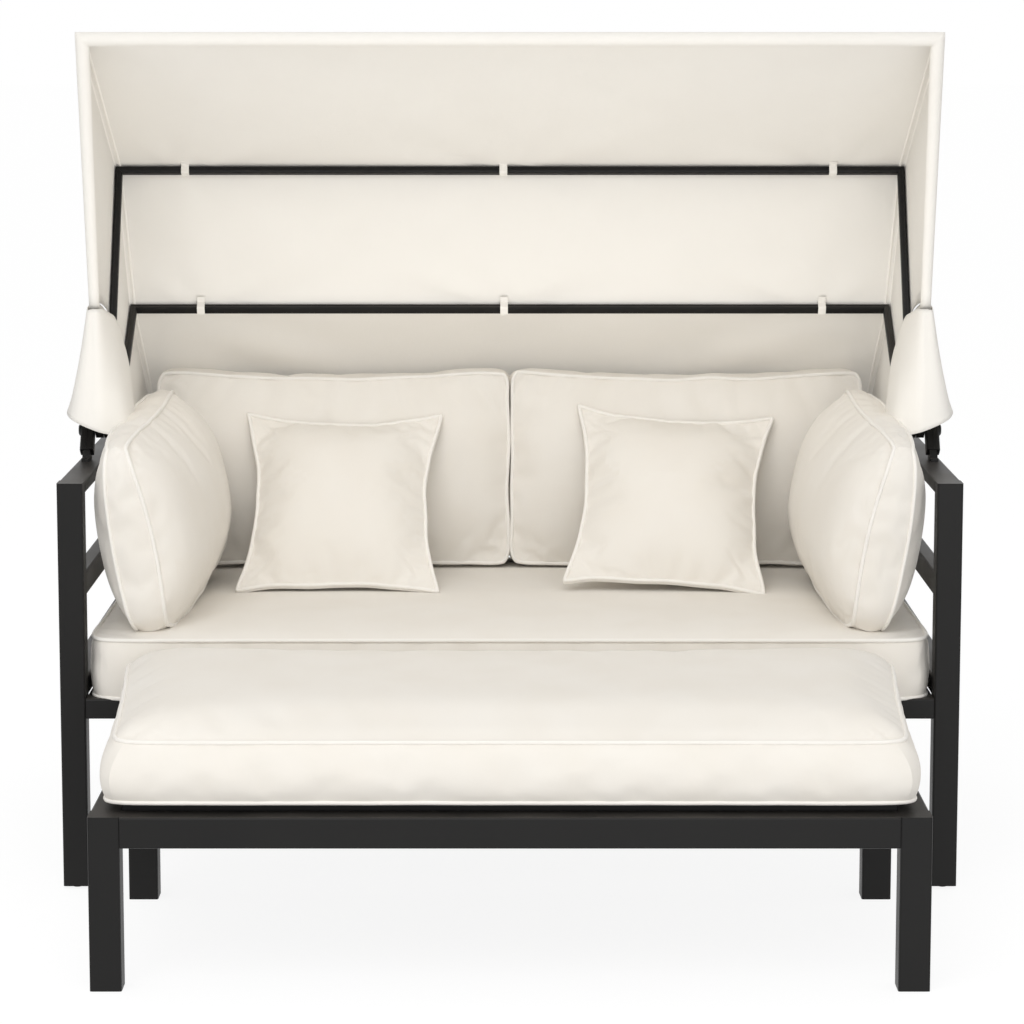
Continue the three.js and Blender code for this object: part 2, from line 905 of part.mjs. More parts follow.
// A cushion about the origin: crowned faces, drawn-in sides, rounded corners.
// Its seams lie at -height / 2 and height / 2.
function cushion({ width, depth, height, top, bottom, swell = 0, ...shares }) {
  const { ends, sides, square, along, across, columns, rows } = shares;
  const spread = (i, n) => Math.sin((Math.PI / 2) * ((2 * i) / n - 1));
  const point = (i, j, level) => {
    const u = spread(i, columns);
    const v = spread(j, rows);
    const reach = Math.max(Math.abs(u), Math.abs(v));
    const corner = Math.abs(u / reach) ** square + Math.abs(v / reach) ** square;
    const round = reach > 0 ? corner ** (-1 / square) : 1;
    const x = u * round * (1 - ends * (1 - v * v) * u * u);
    const y = v * round * (1 - sides * (1 - u * u) * v * v);
    const crown = (1 - Math.abs(u) ** along) * (1 - Math.abs(v) ** across);
    const z = level > 0 ? height / 2 + top * crown : -height / 2 - bottom * crown;
    return at((x * width) / 2, (y * depth) / 2, level === 0 ? 0 : z);
  };
  const positions = [];
  const index = [];
  const add = (p) => positions.push(...p.toArray()) / 3 - 1;
  const faces = {};
  for (const level of [1, -1]) {
    faces[level] = [];
    for (let i = 0; i <= columns; i++) {
      faces[level].push([]);
      for (let j = 0; j <= rows; j++) faces[level][i].push(add(point(i, j, level)));
    }
  }
  const quad = (a, b, c, d) => index.push(a, b, c, a, c, d);
  for (let i = 0; i < columns; i++) {
    for (let j = 0; j < rows; j++) {
      const t = faces[1];
      const b = faces[-1];
      quad(t[i][j], t[i + 1][j], t[i + 1][j + 1], t[i][j + 1]);
      quad(b[i][j], b[i][j + 1], b[i + 1][j + 1], b[i + 1][j]);
    }
  }
  const rim = [];
  for (let i = 0; i < columns; i++) rim.push([i, 0]);
  for (let j = 0; j < rows; j++) rim.push([columns, j]);
  for (let i = columns; i > 0; i--) rim.push([i, rows]);
  for (let j = rows; j > 0; j--) rim.push([0, j]);
  const girth = rim.map(([i, j]) => {
    if (!swell) return null;
    const p = point(i, j, 0);
    p.x *= 1 + (2 * swell) / width;
    p.y *= 1 + (2 * swell) / depth;
    return add(p);
  });
  rim.forEach(([i, j], k) => {
    const next = (k + 1) % rim.length;
    const [i2, j2] = rim[next];
    const low = [faces[-1][i][j], faces[-1][i2][j2]];
    const high = [faces[1][i][j], faces[1][i2][j2]];
    if (swell) {
      quad(low[0], low[1], girth[next], girth[k]);
      quad(girth[k], girth[next], high[1], high[0]);
    } else {
      quad(low[0], low[1], high[1], high[0]);
    }
  });
  const geometry = new THREE.BufferGeometry();
  geometry.setAttribute("position", new THREE.Float32BufferAttribute(positions, 3));
  geometry.setIndex(index);
  return outward(geometry);
}

// The points that are tested when a soft piece is laid against its neighbours
function samples(mesh) {
  const flat = mesh.geometry.index ? mesh.geometry.toNonIndexed() : mesh.geometry;
  const p = flat.attributes.position;
  const points = [];
  for (let i = 0; i < p.count; i += 3) {
    const corners = [0, 1, 2].map((k) =>
      new THREE.Vector3().fromBufferAttribute(p, i + k).applyMatrix4(mesh.matrixWorld),
    );
    corners.forEach((corner, k) => {
      points.push(corner, corner.clone().lerp(corners[(k + 1) % 3], 1 / 2));
    });
    points.push(corners[0].clone().add(corners[1]).add(corners[2]).divideScalar(3));
  }
  return points;
}

// Slides a piece along a direction until it lies one fit away from the others
function slideTo(mesh, direction, others, gap = fit) {
  daybed.updateMatrixWorld(true);
  const back = direction.clone().negate();
  const ray = new THREE.Raycaster();
  let nearest = Infinity;
  const test = (origins, way, targets) => {
    for (const origin of origins) {
      ray.set(origin, way);
      const hit = ray.intersectObjects(targets, false)[0];
      if (hit) nearest = Math.min(nearest, hit.distance);
    }
  };
  test(samples(mesh), direction, others);
  others.forEach((other) => test(samples(other), back, [mesh]));
  if (Number.isFinite(nearest)) {
    mesh.position.addScaledVector(direction, nearest - gap);
  }
}

function named(name) {
  return daybed.getObjectByName(name);
}

const down = new THREE.Vector3(0, 0, -1);
const liftWhileMoved = 25;

// Lays a cushion on the seat, moves it back or out to its support, and lays it down again
function settle(mesh, direction, support, seat, play = fit) {
  slideTo(mesh, down, [seat]);
  for (let pass = 0; pass < 2; pass++) {
    mesh.position.z += liftWhileMoved;
    slideTo(mesh, direction, support, play);
    slideTo(mesh, down, [seat]);
    mesh.position.addScaledVector(direction, -liftWhileMoved);
    slideTo(mesh, direction, support, play);
  }
}

function buildSeatCushions() {
  const seatLength = seatDepth - legSize / 2 - slatThickness / 2 - fit;
  const seat = cushion({
    width: 2 * (legInner - seatCushionPlay),
    depth: seatLength + seatCushionLip,
    height: seatCushionHeight,
    top: seatCrown,
    bottom: 0,
    swell: seatSwell,
    ...seatShares,
  });
  const seatPiece = piece("seat_cushion", "cushion", seat);
  seatPiece.position.set(
    0,
    (seatLength - seatCushionLip) / 2 - seatCushionPlay,
    seatRailTop + seatCushionHeight / 2 + fit,
  );

  const backPiece = named("back_panel");
  const backCushionWidth = legInner - backCushionEndGap - backCushionSplit / 2;
  for (const { name, sign } of sides) {
    const back = cushion({
      width: backCushionWidth,
      depth: backCushionHeight,
      height: backCushionThickness,
      top: backCrown,
      bottom: backCrown / 2,
      swell: backSwell,
      ...backShares,
    });
    const mesh = piece(`back_cushion_${name}`, "cushion", back);
    mesh.rotation.x = Math.PI / 2 - degrees(backCushionLean);
    mesh.position.set(
      (sign * (backCushionWidth + backCushionSplit)) / 2,
      hub.y,
      armHeight + backCushionHeight,
    );
    settle(
      mesh,
      Y,
      [backPiece, named("back_top_rail"), named("canopy_rear_section")],
      seatPiece,
      backCushionPlay,
    );
  }

  for (const { name, sign } of sides) {
    const side = cushion({
      width: sidePillowLength,
      depth: sidePillowHeight,
      height: sidePillowThickness,
      top: sign < 0 ? sideInnerCrown : sideOuterCrown,
      bottom: sign < 0 ? sideOuterCrown : sideInnerCrown,
      swell: sideSwell,
      ...sideShares,
    });
    side.rotateX(Math.PI / 2).rotateZ(Math.PI / 2);
    side.rotateY(sign * degrees(sidePillowTilt)).rotateZ(sign * degrees(sidePillowTurn));
    side.rotateX(degrees(sidePillowPitch));
    const mesh = piece(`side_pillow_${name}`, "cushion", side);
    mesh.position.set(
      0,
      sidePillowFront + sidePillowLength / 2,
      armHeight + sidePillowHeight,
    );
    const arm = [
      named(`arm_rail_${name}`),
      named(`arm_middle_rail_${name}`),
      named(`front_leg_${name}`),
      named(`canopy_skirt_${name}`),
      named(`pivot_nut_${name}`),
      named(`pivot_bolt_${name}`),
    ];
    settle(mesh, X.clone().multiplyScalar(sign), arm, seatPiece, sidePillowPlay);
  }

  const throwRoom = sidePillowRoom + throwSideGap + throwMiddleGaps.left;
  const throwWidth = legInner - throwRoom;
  for (const { name, sign } of sides) {
    const pillow = cushion({
      width: throwWidth,
      depth: throwLength,
      height: throwEdge,
      top: throwCrown,
      bottom: throwCrown,
      ...throwShares,
    });
    pillow.rotateZ(degrees(throwRolls[name]));
    const mesh = piece(`throw_pillow_${name}`, "cushion", pillow);
    mesh.rotation.x = Math.PI / 2 - degrees(throwLean);
    mesh.position.set(
      sign * (throwMiddleGaps[name] + throwWidth / 2),
      hub.y,
      armHeight + throwLength,
    );
    settle(mesh, Y, [named(`back_cushion_${name}`)], seatPiece);
  }
}

// The ottoman stands in front of the seat, with its back one gap away from it
function buildOttoman() {
  const front = -ottomanGap - ottomanDepth;
  const rear = -ottomanGap;
  const half = ottomanWidth / 2;
  const legIn = half - ottomanTube;
  const caps = { low: true, high: true };
  for (const { name, sign } of sides) {
    for (const [end, y] of [
      ["front", front],
      ["rear", rear - ottomanTube],
    ]) {
      const low = at(legIn, y, 0);
      const high = at(half, y + ottomanTube, ottomanHeight);
      const drain = along("z", roundBar(drainRadius, overrun).rotateY(Math.PI / 2));
      drain.translate(half - ottomanTube / 2, y + ottomanTube / 2, 0);
      const leg = cut(tube("z", low, high, tubeWall, tubeCorner, caps), drain);
      leg.translate(-half + ottomanTube / 2, 0, 0);
      const mesh = piece(`ottoman_${end}_leg_${name}`, "frame", leg);
      mesh.position.x = sign * (half - ottomanTube / 2);
    }
    const low = at(-ottomanTube / 2, front + ottomanTube, ottomanHeight - ottomanRailHeight);
    const high = at(ottomanTube / 2, rear - ottomanTube, ottomanHeight);
    const rail = tube("y", low, high, tubeWall, tubeCorner);
    const mesh = piece(`ottoman_side_rail_${name}`, "frame", rail);
    mesh.position.x = sign * (half - ottomanTube / 2);
  }
  for (const [end, y] of [
    ["front", front],
    ["rear", rear - ottomanTube],
  ]) {
    const low = at(-legIn, y, ottomanHeight - ottomanRailHeight);
    const high = at(legIn, y + ottomanTube, ottomanHeight);
    piece(`ottoman_${end}_rail`, "frame", tube("x", low, high, tubeWall, tubeCorner));
  }
  const deck = grille(
    2 * legIn,
    ottomanDepth - 2 * ottomanTube,
    ottomanSlatCount,
    grilleBorder,
    ottomanDeckThickness,
  );
  const deckPiece = piece("ottoman_deck", "frame", deck);
  const deckTop = ottomanHeight + ottomanDeckRise;
  const middleY = (front + rear) / 2;
  deckPiece.position.set(0, middleY, deckTop - ottomanDeckThickness / 2);
  const pad = cushion({
    width: ottomanWidth - 2 * ottomanCushionEndInset,
    depth: ottomanDepth - 2 * ottomanCushionInset,
    height: ottomanCushionHeight,
    top: ottomanCrown,
    bottom: 0,
    swell: ottomanSwell,
    ...ottomanShares,
  });
  const padPiece = piece("ottoman_cushion", "cushion", pad);
  padPiece.position.set(0, middleY, deckTop + ottomanCushionHeight / 2 + fit);
}

buildLegs();
buildSeatFrame();
buildPivots();
buildCanopy();
buildSeatCushions();
buildOttoman();

// The origin is on the floor, under the middle of the whole set
const part = new THREE.Group();
part.add(daybed);
daybed.updateMatrixWorld(true);
const extent = new THREE.Box3().setFromObject(daybed, true);
daybed.position.y = -(extent.min.y + extent.max.y) / 2;

export default part;
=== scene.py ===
"""Dresses the daybed's solids: canopy, cushions, powder coat, camera and light."""

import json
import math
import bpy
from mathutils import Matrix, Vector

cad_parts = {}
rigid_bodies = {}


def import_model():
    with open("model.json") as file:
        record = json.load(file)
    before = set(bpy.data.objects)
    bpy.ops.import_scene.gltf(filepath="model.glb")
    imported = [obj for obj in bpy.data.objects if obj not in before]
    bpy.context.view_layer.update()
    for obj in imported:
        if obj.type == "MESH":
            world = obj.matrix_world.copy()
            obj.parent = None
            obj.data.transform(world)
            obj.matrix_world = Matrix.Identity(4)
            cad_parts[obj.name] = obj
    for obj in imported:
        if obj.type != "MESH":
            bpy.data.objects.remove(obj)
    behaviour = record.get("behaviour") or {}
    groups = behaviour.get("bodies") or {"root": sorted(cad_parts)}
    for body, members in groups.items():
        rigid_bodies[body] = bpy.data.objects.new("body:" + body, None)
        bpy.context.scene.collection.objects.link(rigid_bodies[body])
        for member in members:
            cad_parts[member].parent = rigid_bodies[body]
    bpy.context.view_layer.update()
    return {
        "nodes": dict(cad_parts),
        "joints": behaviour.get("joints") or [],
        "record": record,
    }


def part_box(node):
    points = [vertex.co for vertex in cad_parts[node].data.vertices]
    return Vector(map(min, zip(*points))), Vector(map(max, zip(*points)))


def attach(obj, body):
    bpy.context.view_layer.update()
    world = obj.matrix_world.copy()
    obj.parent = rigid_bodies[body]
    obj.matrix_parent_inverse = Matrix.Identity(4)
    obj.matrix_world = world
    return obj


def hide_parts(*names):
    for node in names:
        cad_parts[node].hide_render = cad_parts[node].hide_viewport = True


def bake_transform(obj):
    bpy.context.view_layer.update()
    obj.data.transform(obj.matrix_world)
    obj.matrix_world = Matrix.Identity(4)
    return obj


bl_info = {
    "name": "Canopy Daybed",
    "version": (1, 0, 0),
    "blender": (4, 5, 0),
    "location": "View3D > Sidebar > Daybed",
    "description": "Dresses a two-seat daybed with its canopy, cushions and ottoman",
    "category": "Object",
}

import bmesh
import bpy
from bpy.props import FloatProperty, FloatVectorProperty, PointerProperty
from mathutils import Matrix, Vector, noise

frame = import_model()

SIDES = {"left": -1, "right": 1}
HUB = Vector(next(j["pos_m"] for j in frame["joints"] if j["name"] == "rear_bow_fold"))
FRAME_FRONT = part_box("front_leg_left")[0].y

# The bows as the solids have them: reach from the pivot, turn from level, half width
BOWS = {
    "front": {"body": "front_bow", "radius": 0.650, "angle": 103.5, "half": 0.668},
    "middle": {"body": "middle_bow", "radius": 0.463, "angle": 62.6, "half": 0.654},
    "rear": {"body": "rear_bow", "radius": 0.325, "angle": 32.4, "half": 0.640},
}
BOW_THICKNESS = 0.012
BOW_DEPTH = 0.014
SLEEVE_RADIUS = 0.0113
SLEEVE_SLIMMING = 0.74
SKIRT_REACH = 0.206
CLEARANCE = 0.0003
TAB_PLACES = {"middle": (-0.543, -0.011, 0.540), "rear": (-0.525, -0.010, 0.530)}
SIDE_SAG = 0.005
BAR_HALF = 0.66
SLOW_WAVE = 0.007
TAB_FOLD = 0.0055
CREASE = 0.006
TAB_WIDTH = 0.013
TAB_THICKNESS = 0.0012

# Colour of the small parts, and of their dusting and the painted sheen on their upward
# faces
PLASTIC = ((0.01, 0.01, 0.01), (0.03, 0.03, 0.03))
STEEL = ((0.03, 0.03, 0.03), (0.06, 0.06, 0.06))

# Each cloth's shade between its threads, its thread's width and its mottling
CLOTHS = {
    "cushion_cloth": ((0.86, 0.82, 0.76), 0.0016, 0.3),
    # The piping's cloth is lighter than the others: a painted highlight along the seams
    "piping_cloth": ((0.88, 0.85, 0.8), 0.0011, 0.2),
    "canopy_cloth": ((0.9, 0.89, 0.87), 0.0012, 0.2),
}

# How far the rear section hangs behind the back rail, how far it stands off the rail,
# and in how many rows
REAR_DROP = 0.1
DROP_GAP = 0.0004
DROP_STEPS = 8

# How fine the wander of the seams, the gathers beside them and the boxing's puckers
# are, how far the gathers run in from a seam, and how sharply a boxing bulges
WANDER_SCALE = 12
GATHER_SCALE = 38
PUCKER_SCALE = 30
PUCKER_SHARE = 0.7
GATHER_REACH = 0.03
GATHER_START = 0.006
BULGE_POWER = 24

# The swelling of the cushions as cloth
SWELL_PRESSURE = 4.0
SWELL_STEPS = 20
BOXING_SHARE = 0.35
FLAT_TOLERANCE = 0.003

BACK_LEAN = math.radians(6)
THROW_LEAN = math.radians(46.5)
THROW_ROLLS = {"left": -0.5, "right": -4.5}
PILLOW_PITCH = math.radians(3.4)
PILLOW_TURN = math.radians(3)
PILLOW_TILT = math.radians(10)

# Each lamp's place, what it is aimed at and its size
KEY_LAMP = ((-0.9, -3.9, 4.3), (0.0, 0.1, 0.6), (3.4, 3.4))
FILL_LAMP = ((0.9, -6.0, 0.55), (0.0, 0.1, 0.6), (3.0, 3.0))
CANOPY_LAMP = ((0, -0.45, 0.1), (0.0, 0.45, 0.95), (1.5, 0.5))

# How much of the floor's white is its own, so that its share of shadow still shows
FLOOR_GLOW_SHARE = 0.84
FLOOR_GLOW = 1.06
WHITE = (1, 1, 1, 1)


# Sizes and colours that a user would change


class DaybedStageLook(bpy.types.PropertyGroup):
    distance: FloatProperty(
        name="Camera distance",
        description="From the front of the seat to the camera",
        default=5.35,
        unit="LENGTH",
    )
    height: FloatProperty(
        name="Camera height",
        description="Height of the camera over the floor",
        default=1.364,
        unit="LENGTH",
    )
    pitch: FloatProperty(
        name="Camera pitch",
        description="How far the camera looks down",
        default=math.radians(8.16),
        subtype="ANGLE",
    )
    lens: FloatProperty(
        name="Lens",
        description="Focal length of the camera in millimetres",
        default=123.05,
    )
    shift: FloatProperty(
        name="Camera shift",
        description="Sideways shift of the frame, as a share of its width",
        default=0.002,
    )
    key_power: FloatProperty(
        name="Key light",
        description="Power of the large lamp above the front of the set",
        default=109.0,
        unit="POWER",
    )
    fill_power: FloatProperty(
        name="Fill light",
        description="Power of the large low lamp beside the camera",
        default=62.0,
        unit="POWER",
    )
    canopy_power: FloatProperty(
        name="Canopy light",
        description="Power of the low lamp that lights the canopy alone, from below",
        default=5.2,
        unit="POWER",
    )
    sky: FloatProperty(
        name="Sky light",
        description="Strength of the even light from all round",
        default=0.69,
    )


class DaybedFrameLook(bpy.types.PropertyGroup):
    coat: FloatVectorProperty(
        name="Coat",
        description="Colour of the powder coat",
        subtype="COLOR",
        default=(0.0062, 0.0061, 0.0061),
    )
    # Laid in patches and mostly on upward faces: a dusting, and a painted sheen of
    # light from above
    dust_and_sheen: FloatVectorProperty(
        name="Dust",
        description="Colour of the coat where light dust lies on it",
        subtype="COLOR",
        default=(0.050, 0.045, 0.040),
    )


class DaybedCanopyLook(bpy.types.PropertyGroup):
    colour: FloatVectorProperty(
        name="Canopy cloth",
        description="Colour of the canopy's fabric",
        subtype="COLOR",
        default=(0.868, 0.840, 0.788),
    )
    thickness: FloatProperty(
        name="Cloth thickness",
        description="Thickness of the canopy's fabric",
        default=0.0014,
        unit="LENGTH",
    )
    seam_radius: FloatProperty(
        name="Seam thickness",
        description="How far the sewn seams stand out of the fabric",
        default=0.0024,
        unit="LENGTH",
    )
    sag: FloatProperty(
        name="Sag",
        description="How far the fabric hangs between two bows",
        default=0.009,
        unit="LENGTH",
    )
    billow: FloatProperty(
        name="Billow",
        description="How far the rear section stands out behind the back cushions",
        default=0.031,
        unit="LENGTH",
    )


class DaybedCushionLook(bpy.types.PropertyGroup):
    colour: FloatVectorProperty(
        name="Cushion cloth",
        description="Colour of the cushions' fabric",
        subtype="COLOR",
        default=(0.872, 0.838, 0.780),
    )
    # Lighter than the cushion cloth: a painted highlight along the seams' cords
    piping: FloatVectorProperty(
        name="Piping",
        description="Colour of the cord along the seams",
        subtype="COLOR",
        default=(0.945, 0.915, 0.865),
    )
    piping_radius: FloatProperty(
        name="Piping radius",
        description="Radius of the cord along the seams",
        default=0.0034,
        unit="LENGTH",
    )
    pucker: FloatProperty(
        name="Pucker",
        description="Depth of the small gathers along the seams",
        default=0.0016,
        unit="LENGTH",
    )


# Materials


class Nodes:
    """Short calls for building one node tree."""

    def __init__(self, tree):
        self.tree = tree

    def add(self, kind, **sockets):
        node = self.tree.nodes.new(kind)
        for name, value in sockets.items():
            self.set(node, name.replace("_", " "), value)
        return node

    def set(self, node, name, value):
        socket = node.inputs[name]
        if isinstance(value, bpy.types.NodeSocket):
            self.tree.links.new(value, socket)
        else:
            socket.default_value = value

    def math(self, operation, first, second=None, clamp=False):
        node = self.tree.nodes.new("ShaderNodeMath")
        node.operation = operation
        node.use_clamp = clamp
        self.set(node, 0, first)
        if second is not None:
            self.set(node, 1, second)
        return node.outputs[0]

    def mix(self, share, first, second):
        node = self.tree.nodes.new("ShaderNodeMix")
        node.data_type = "RGBA"
        self.set(node, 0, share)
        self.set(node, 6, first)
        self.set(node, 7, second)
        return node.outputs[2]

    def ramp(self, value, low, high, low_to=0.0, high_to=1.0):
        node = self.tree.nodes.new("ShaderNodeMapRange")
        node.inputs["From Min"].default_value = low
        node.inputs["From Max"].default_value = high
        node.inputs["To Min"].default_value = low_to
        node.inputs["To Max"].default_value = high_to
        self.set(node, "Value", value)
        return node.outputs["Result"]


def colour_socket(colour):
    return (*colour[:3], 1.0)


def effect_group(name, inputs, outputs):
    """A shader node group with named sockets, built once."""
    tree = bpy.data.node_groups.new(name, "ShaderNodeTree")
    for socket, kind, value in inputs:
        made = tree.interface.new_socket(name=socket, in_out="INPUT", socket_type=kind)
        if value is not None:
            made.default_value = value
    for socket, kind in outputs:
        tree.interface.new_socket(name=socket, in_out="OUTPUT", socket_type=kind)
    start = tree.nodes.new("NodeGroupInput")
    end = tree.nodes.new("NodeGroupOutput")
    return tree, Nodes(tree), start.outputs, end.inputs


def build_weave():
    """Plain weave with slubs: colour and height, laid on a map in metres."""
    tree, n, into, out = effect_group(
        "weave",
        [
            ("Map", "NodeSocketVector", None),
            ("Colour", "NodeSocketColor", WHITE),
            ("Shade", "NodeSocketColor", (0.5, 0.5, 0.5, 1)),
            ("Thread", "NodeSocketFloat", 0.0016),
            ("Mottle", "NodeSocketFloat", 0.35),
        ],
        [("Colour", "NodeSocketColor"), ("Height", "NodeSocketFloat")],
    )
    parts = n.add("ShaderNodeSeparateXYZ", Vector=into["Map"])
    waves = []
    for axis in ("X", "Y"):
        turns = n.math("DIVIDE", parts.outputs[axis], into["Thread"])
        waves.append(n.math("SINE", n.math("MULTIPLY", turns, math.tau)))
    basket = n.math("MULTIPLY", waves[0], waves[1])
    slub = n.add("ShaderNodeTexNoise", Vector=into["Map"], Scale=180.0, Detail=3.0)
    cloud = n.add("ShaderNodeTexNoise", Vector=into["Map"], Scale=9.0, Detail=2.0)
    height = n.math("MULTIPLY_ADD", basket, 0.5)
    height.node.inputs[2].default_value = 0.5
    rough = n.math("MULTIPLY", slub.outputs["Fac"], 0.8)
    n.set(out["Height"].node, "Height", n.math("ADD", height, rough))
    # Painted shade between the threads; the mottled spots in the same colour are the
    # cloth's own tone
    low = n.ramp(basket, -1.0, 1.0, 0.35, 0.0)
    spots = n.ramp(cloud.outputs["Fac"], 0.35, 0.65, 0.5, 0.0)
    share = n.math("ADD", low, n.math("MULTIPLY", spots, into["Mottle"]), clamp=True)
    n.set(out["Colour"].node, "Colour", n.mix(share, into["Colour"], into["Shade"]))
    return tree


def build_orange_peel():
    """Powder coat: fine orange peel in height; in colour, a soft dusting and a painted
    sheen that lightens upward faces.
    """
    tree, n, into, out = effect_group(
        "orange_peel",
        [
            ("Place", "NodeSocketVector", None),
            ("Coat", "NodeSocketColor", (0, 0, 0, 1)),
            ("Dust", "NodeSocketColor", (0.1, 0.1, 0.1, 1)),
            ("Facing up", "NodeSocketFloat", 0.0),
        ],
        [
            ("Colour", "NodeSocketColor"),
            ("Roughness", "NodeSocketFloat"),
            ("Height", "NodeSocketFloat"),
        ],
    )
    grain = n.add("ShaderNodeTexNoise", Vector=into["Place"], Scale=650.0, Detail=2.0)
    cloud = n.add("ShaderNodeTexNoise", Vector=into["Place"], Scale=7.0, Detail=4.0)
    # A dusting in soft patches; upward faces take much more of the lighter colour,
    # which is painted sheen from above
    patches = n.ramp(cloud.outputs["Fac"], 0.3, 0.7, 0.35, 1.0)
    up = n.ramp(into["Facing up"], 0.5, 1.0, 0.0, 0.9)
    share = n.math("MULTIPLY", patches, n.math("ADD", up, 0.08), clamp=True)
    n.set(out["Colour"].node, "Colour", n.mix(share, into["Coat"], into["Dust"]))
    rough = n.ramp(cloud.outputs["Fac"], 0.3, 0.7, 0.40, 0.50)
    n.set(out["Roughness"].node, "Roughness", rough)
    n.set(out["Height"].node, "Height", grain.outputs["Fac"])
    return tree


def new_material(name):
    material = bpy.data.materials.new(name)
    material.use_nodes = True
    tree = material.node_tree
    return material, Nodes(tree), tree.nodes["Principled BSDF"]


def coat_material(name, coat, dust_and_sheen, metallic, effects):
    material, n, shader = new_material(name)
    place = n.add("ShaderNodeTexCoord").outputs["Object"]
    normal = n.add("ShaderNodeNewGeometry").outputs["Normal"]
    facing = n.add("ShaderNodeSeparateXYZ", Vector=normal).outputs["Z"]
    effect = n.tree.nodes.new("ShaderNodeGroup")
    effect.node_tree = effects["orange_peel"]
    n.set(effect, "Place", place)
    n.set(effect, "Coat", colour_socket(coat))
    n.set(effect, "Dust", colour_socket(dust_and_sheen))
    n.set(effect, "Facing up", facing)
    bump = n.add("ShaderNodeBump", Strength=0.25, Distance=0.0002)
    n.set(bump, "Height", effect.outputs["Height"])
    n.set(shader, "Base Color", effect.outputs["Colour"])
    n.set(shader, "Roughness", effect.outputs["Roughness"])
    n.set(shader, "Normal", bump.outputs["Normal"])
    shader.inputs["Metallic"].default_value = metallic
    shader.inputs["Specular IOR Level"].default_value = 0.22
    return material


def cloth_material(name, colour, shade, thread, mottle, effects):
    material, n, shader = new_material(name)
    place = n.add("ShaderNodeUVMap")
    place.uv_map = "cloth"
    effect = n.tree.nodes.new("ShaderNodeGroup")
    effect.node_tree = effects["weave"]
    n.set(effect, "Map", place.outputs["UV"])
    n.set(effect, "Colour", colour_socket(colour))
    n.set(effect, "Shade", colour_socket(shade))
    n.set(effect, "Thread", thread)
    n.set(effect, "Mottle", mottle)
    bump = n.add("ShaderNodeBump", Strength=0.5, Distance=0.0005)
    n.set(bump, "Height", effect.outputs["Height"])
    n.set(shader, "Base Color", effect.outputs["Colour"])
    n.set(shader, "Normal", bump.outputs["Normal"])
    shader.inputs["Roughness"].default_value = 0.92
    shader.inputs["Specular IOR Level"].default_value = 0.25
    shader.inputs["Sheen Weight"].default_value = 0.12
    shader.inputs["Sheen Roughness"].default_value = 0.6
    return material


# Meshes


def piece_from(name, bm, material, smooth=True):
    """A piece at the origin from a bmesh, in one material."""
    mesh = bpy.data.meshes.new(name)
    for face in bm.faces:
        face.smooth = smooth
    bm.to_mesh(mesh)
    bm.free()
    mesh.materials.append(material)
    obj = bpy.data.objects.new(name, mesh)
    bpy.context.scene.collection.objects.link(obj)
    return obj


def lay_map(obj):
    """A cloth map in metres: each face is laid along the two axes it faces least."""
    mesh = obj.data
    layer = mesh.uv_layers.get("cloth") or mesh.uv_layers.new(name="cloth")
    for polygon in mesh.polygons:
        size = [abs(c) for c in polygon.normal]
        axis = size.index(max(size))
        first, second = [i for i in range(3) if i != axis]
        for loop in polygon.loop_indices:
            co = mesh.vertices[mesh.loops[loop].vertex_index].co
            layer.data[loop].uv = (co[first], co[second])


def cord_along(name, loops, radius, material, closed=True):
    """Round cords that follow lines of points, as one mesh."""
    curve = bpy.data.curves.new(name, "CURVE")
    curve.dimensions = "3D"
    curve.bevel_depth = radius
    curve.bevel_resolution = 2
    for points in loops:
        spline = curve.splines.new("POLY")
        spline.points.add(len(points) - 1)
        for point, place in zip(spline.points, points):
            point.co = (*place, 1.0)
        spline.use_cyclic_u = closed
    curve.use_fill_caps = not closed
    holder = bpy.data.objects.new(name, curve)
    bpy.context.scene.collection.objects.link(holder)
    ready = holder.evaluated_get(bpy.context.evaluated_depsgraph_get())
    mesh = bpy.data.meshes.new_from_object(ready)
    bpy.data.objects.remove(holder)
    bpy.data.curves.remove(curve)
    mesh.name = name
    mesh.materials.clear()
    mesh.materials.append(material)
    for polygon in mesh.polygons:
        polygon.use_smooth = True
    obj = bpy.data.objects.new(name, mesh)
    bpy.context.scene.collection.objects.link(obj)
    lay_map(obj)
    return obj


# Canopy


def from_hub(bow, x, reach, ahead):
    """A point in a bow's own plane and ahead of it, from the pivot."""
    turn = math.radians(bow["angle"])
    return HUB + Vector(
        (
            x,
            reach * math.cos(turn) - ahead * math.sin(turn),
            reach * math.sin(turn) + ahead * math.cos(turn),
        )
    )


def bow_place(bow, station, out, ahead, slim=1.0):
    """A point over a bow. Station runs from -2 at the left pivot to 2 at the right."""
    if abs(station) <= 1:
        x, reach = station * (bow["half"] + out), bow["radius"] + out
    else:
        share = 2 - abs(station)
        out, ahead = (d * (slim + (1 - slim) * share) for d in (out, ahead))
        x = math.copysign(1, station) * (bow["half"] + out)
        reach = SKIRT_REACH + share * (bow["radius"] + out - SKIRT_REACH)
    return from_hub(bow, x, reach, ahead)


def stations():
    """Where the fabric's columns lie, closer together at the corners."""
    leg = [-2 + 0.97 * i / 15 for i in range(16)] + [-1.012, -1.0]
    top = [-math.cos(math.pi * i / 60) for i in range(1, 60)]
    top = [t * 0.6 + 0.4 * (2 * i / 60 - 1) for i, t in enumerate(top, 1)]
    half = leg + [-0.994] + top + [0.994]
    return half + [-s for s in reversed(leg)]


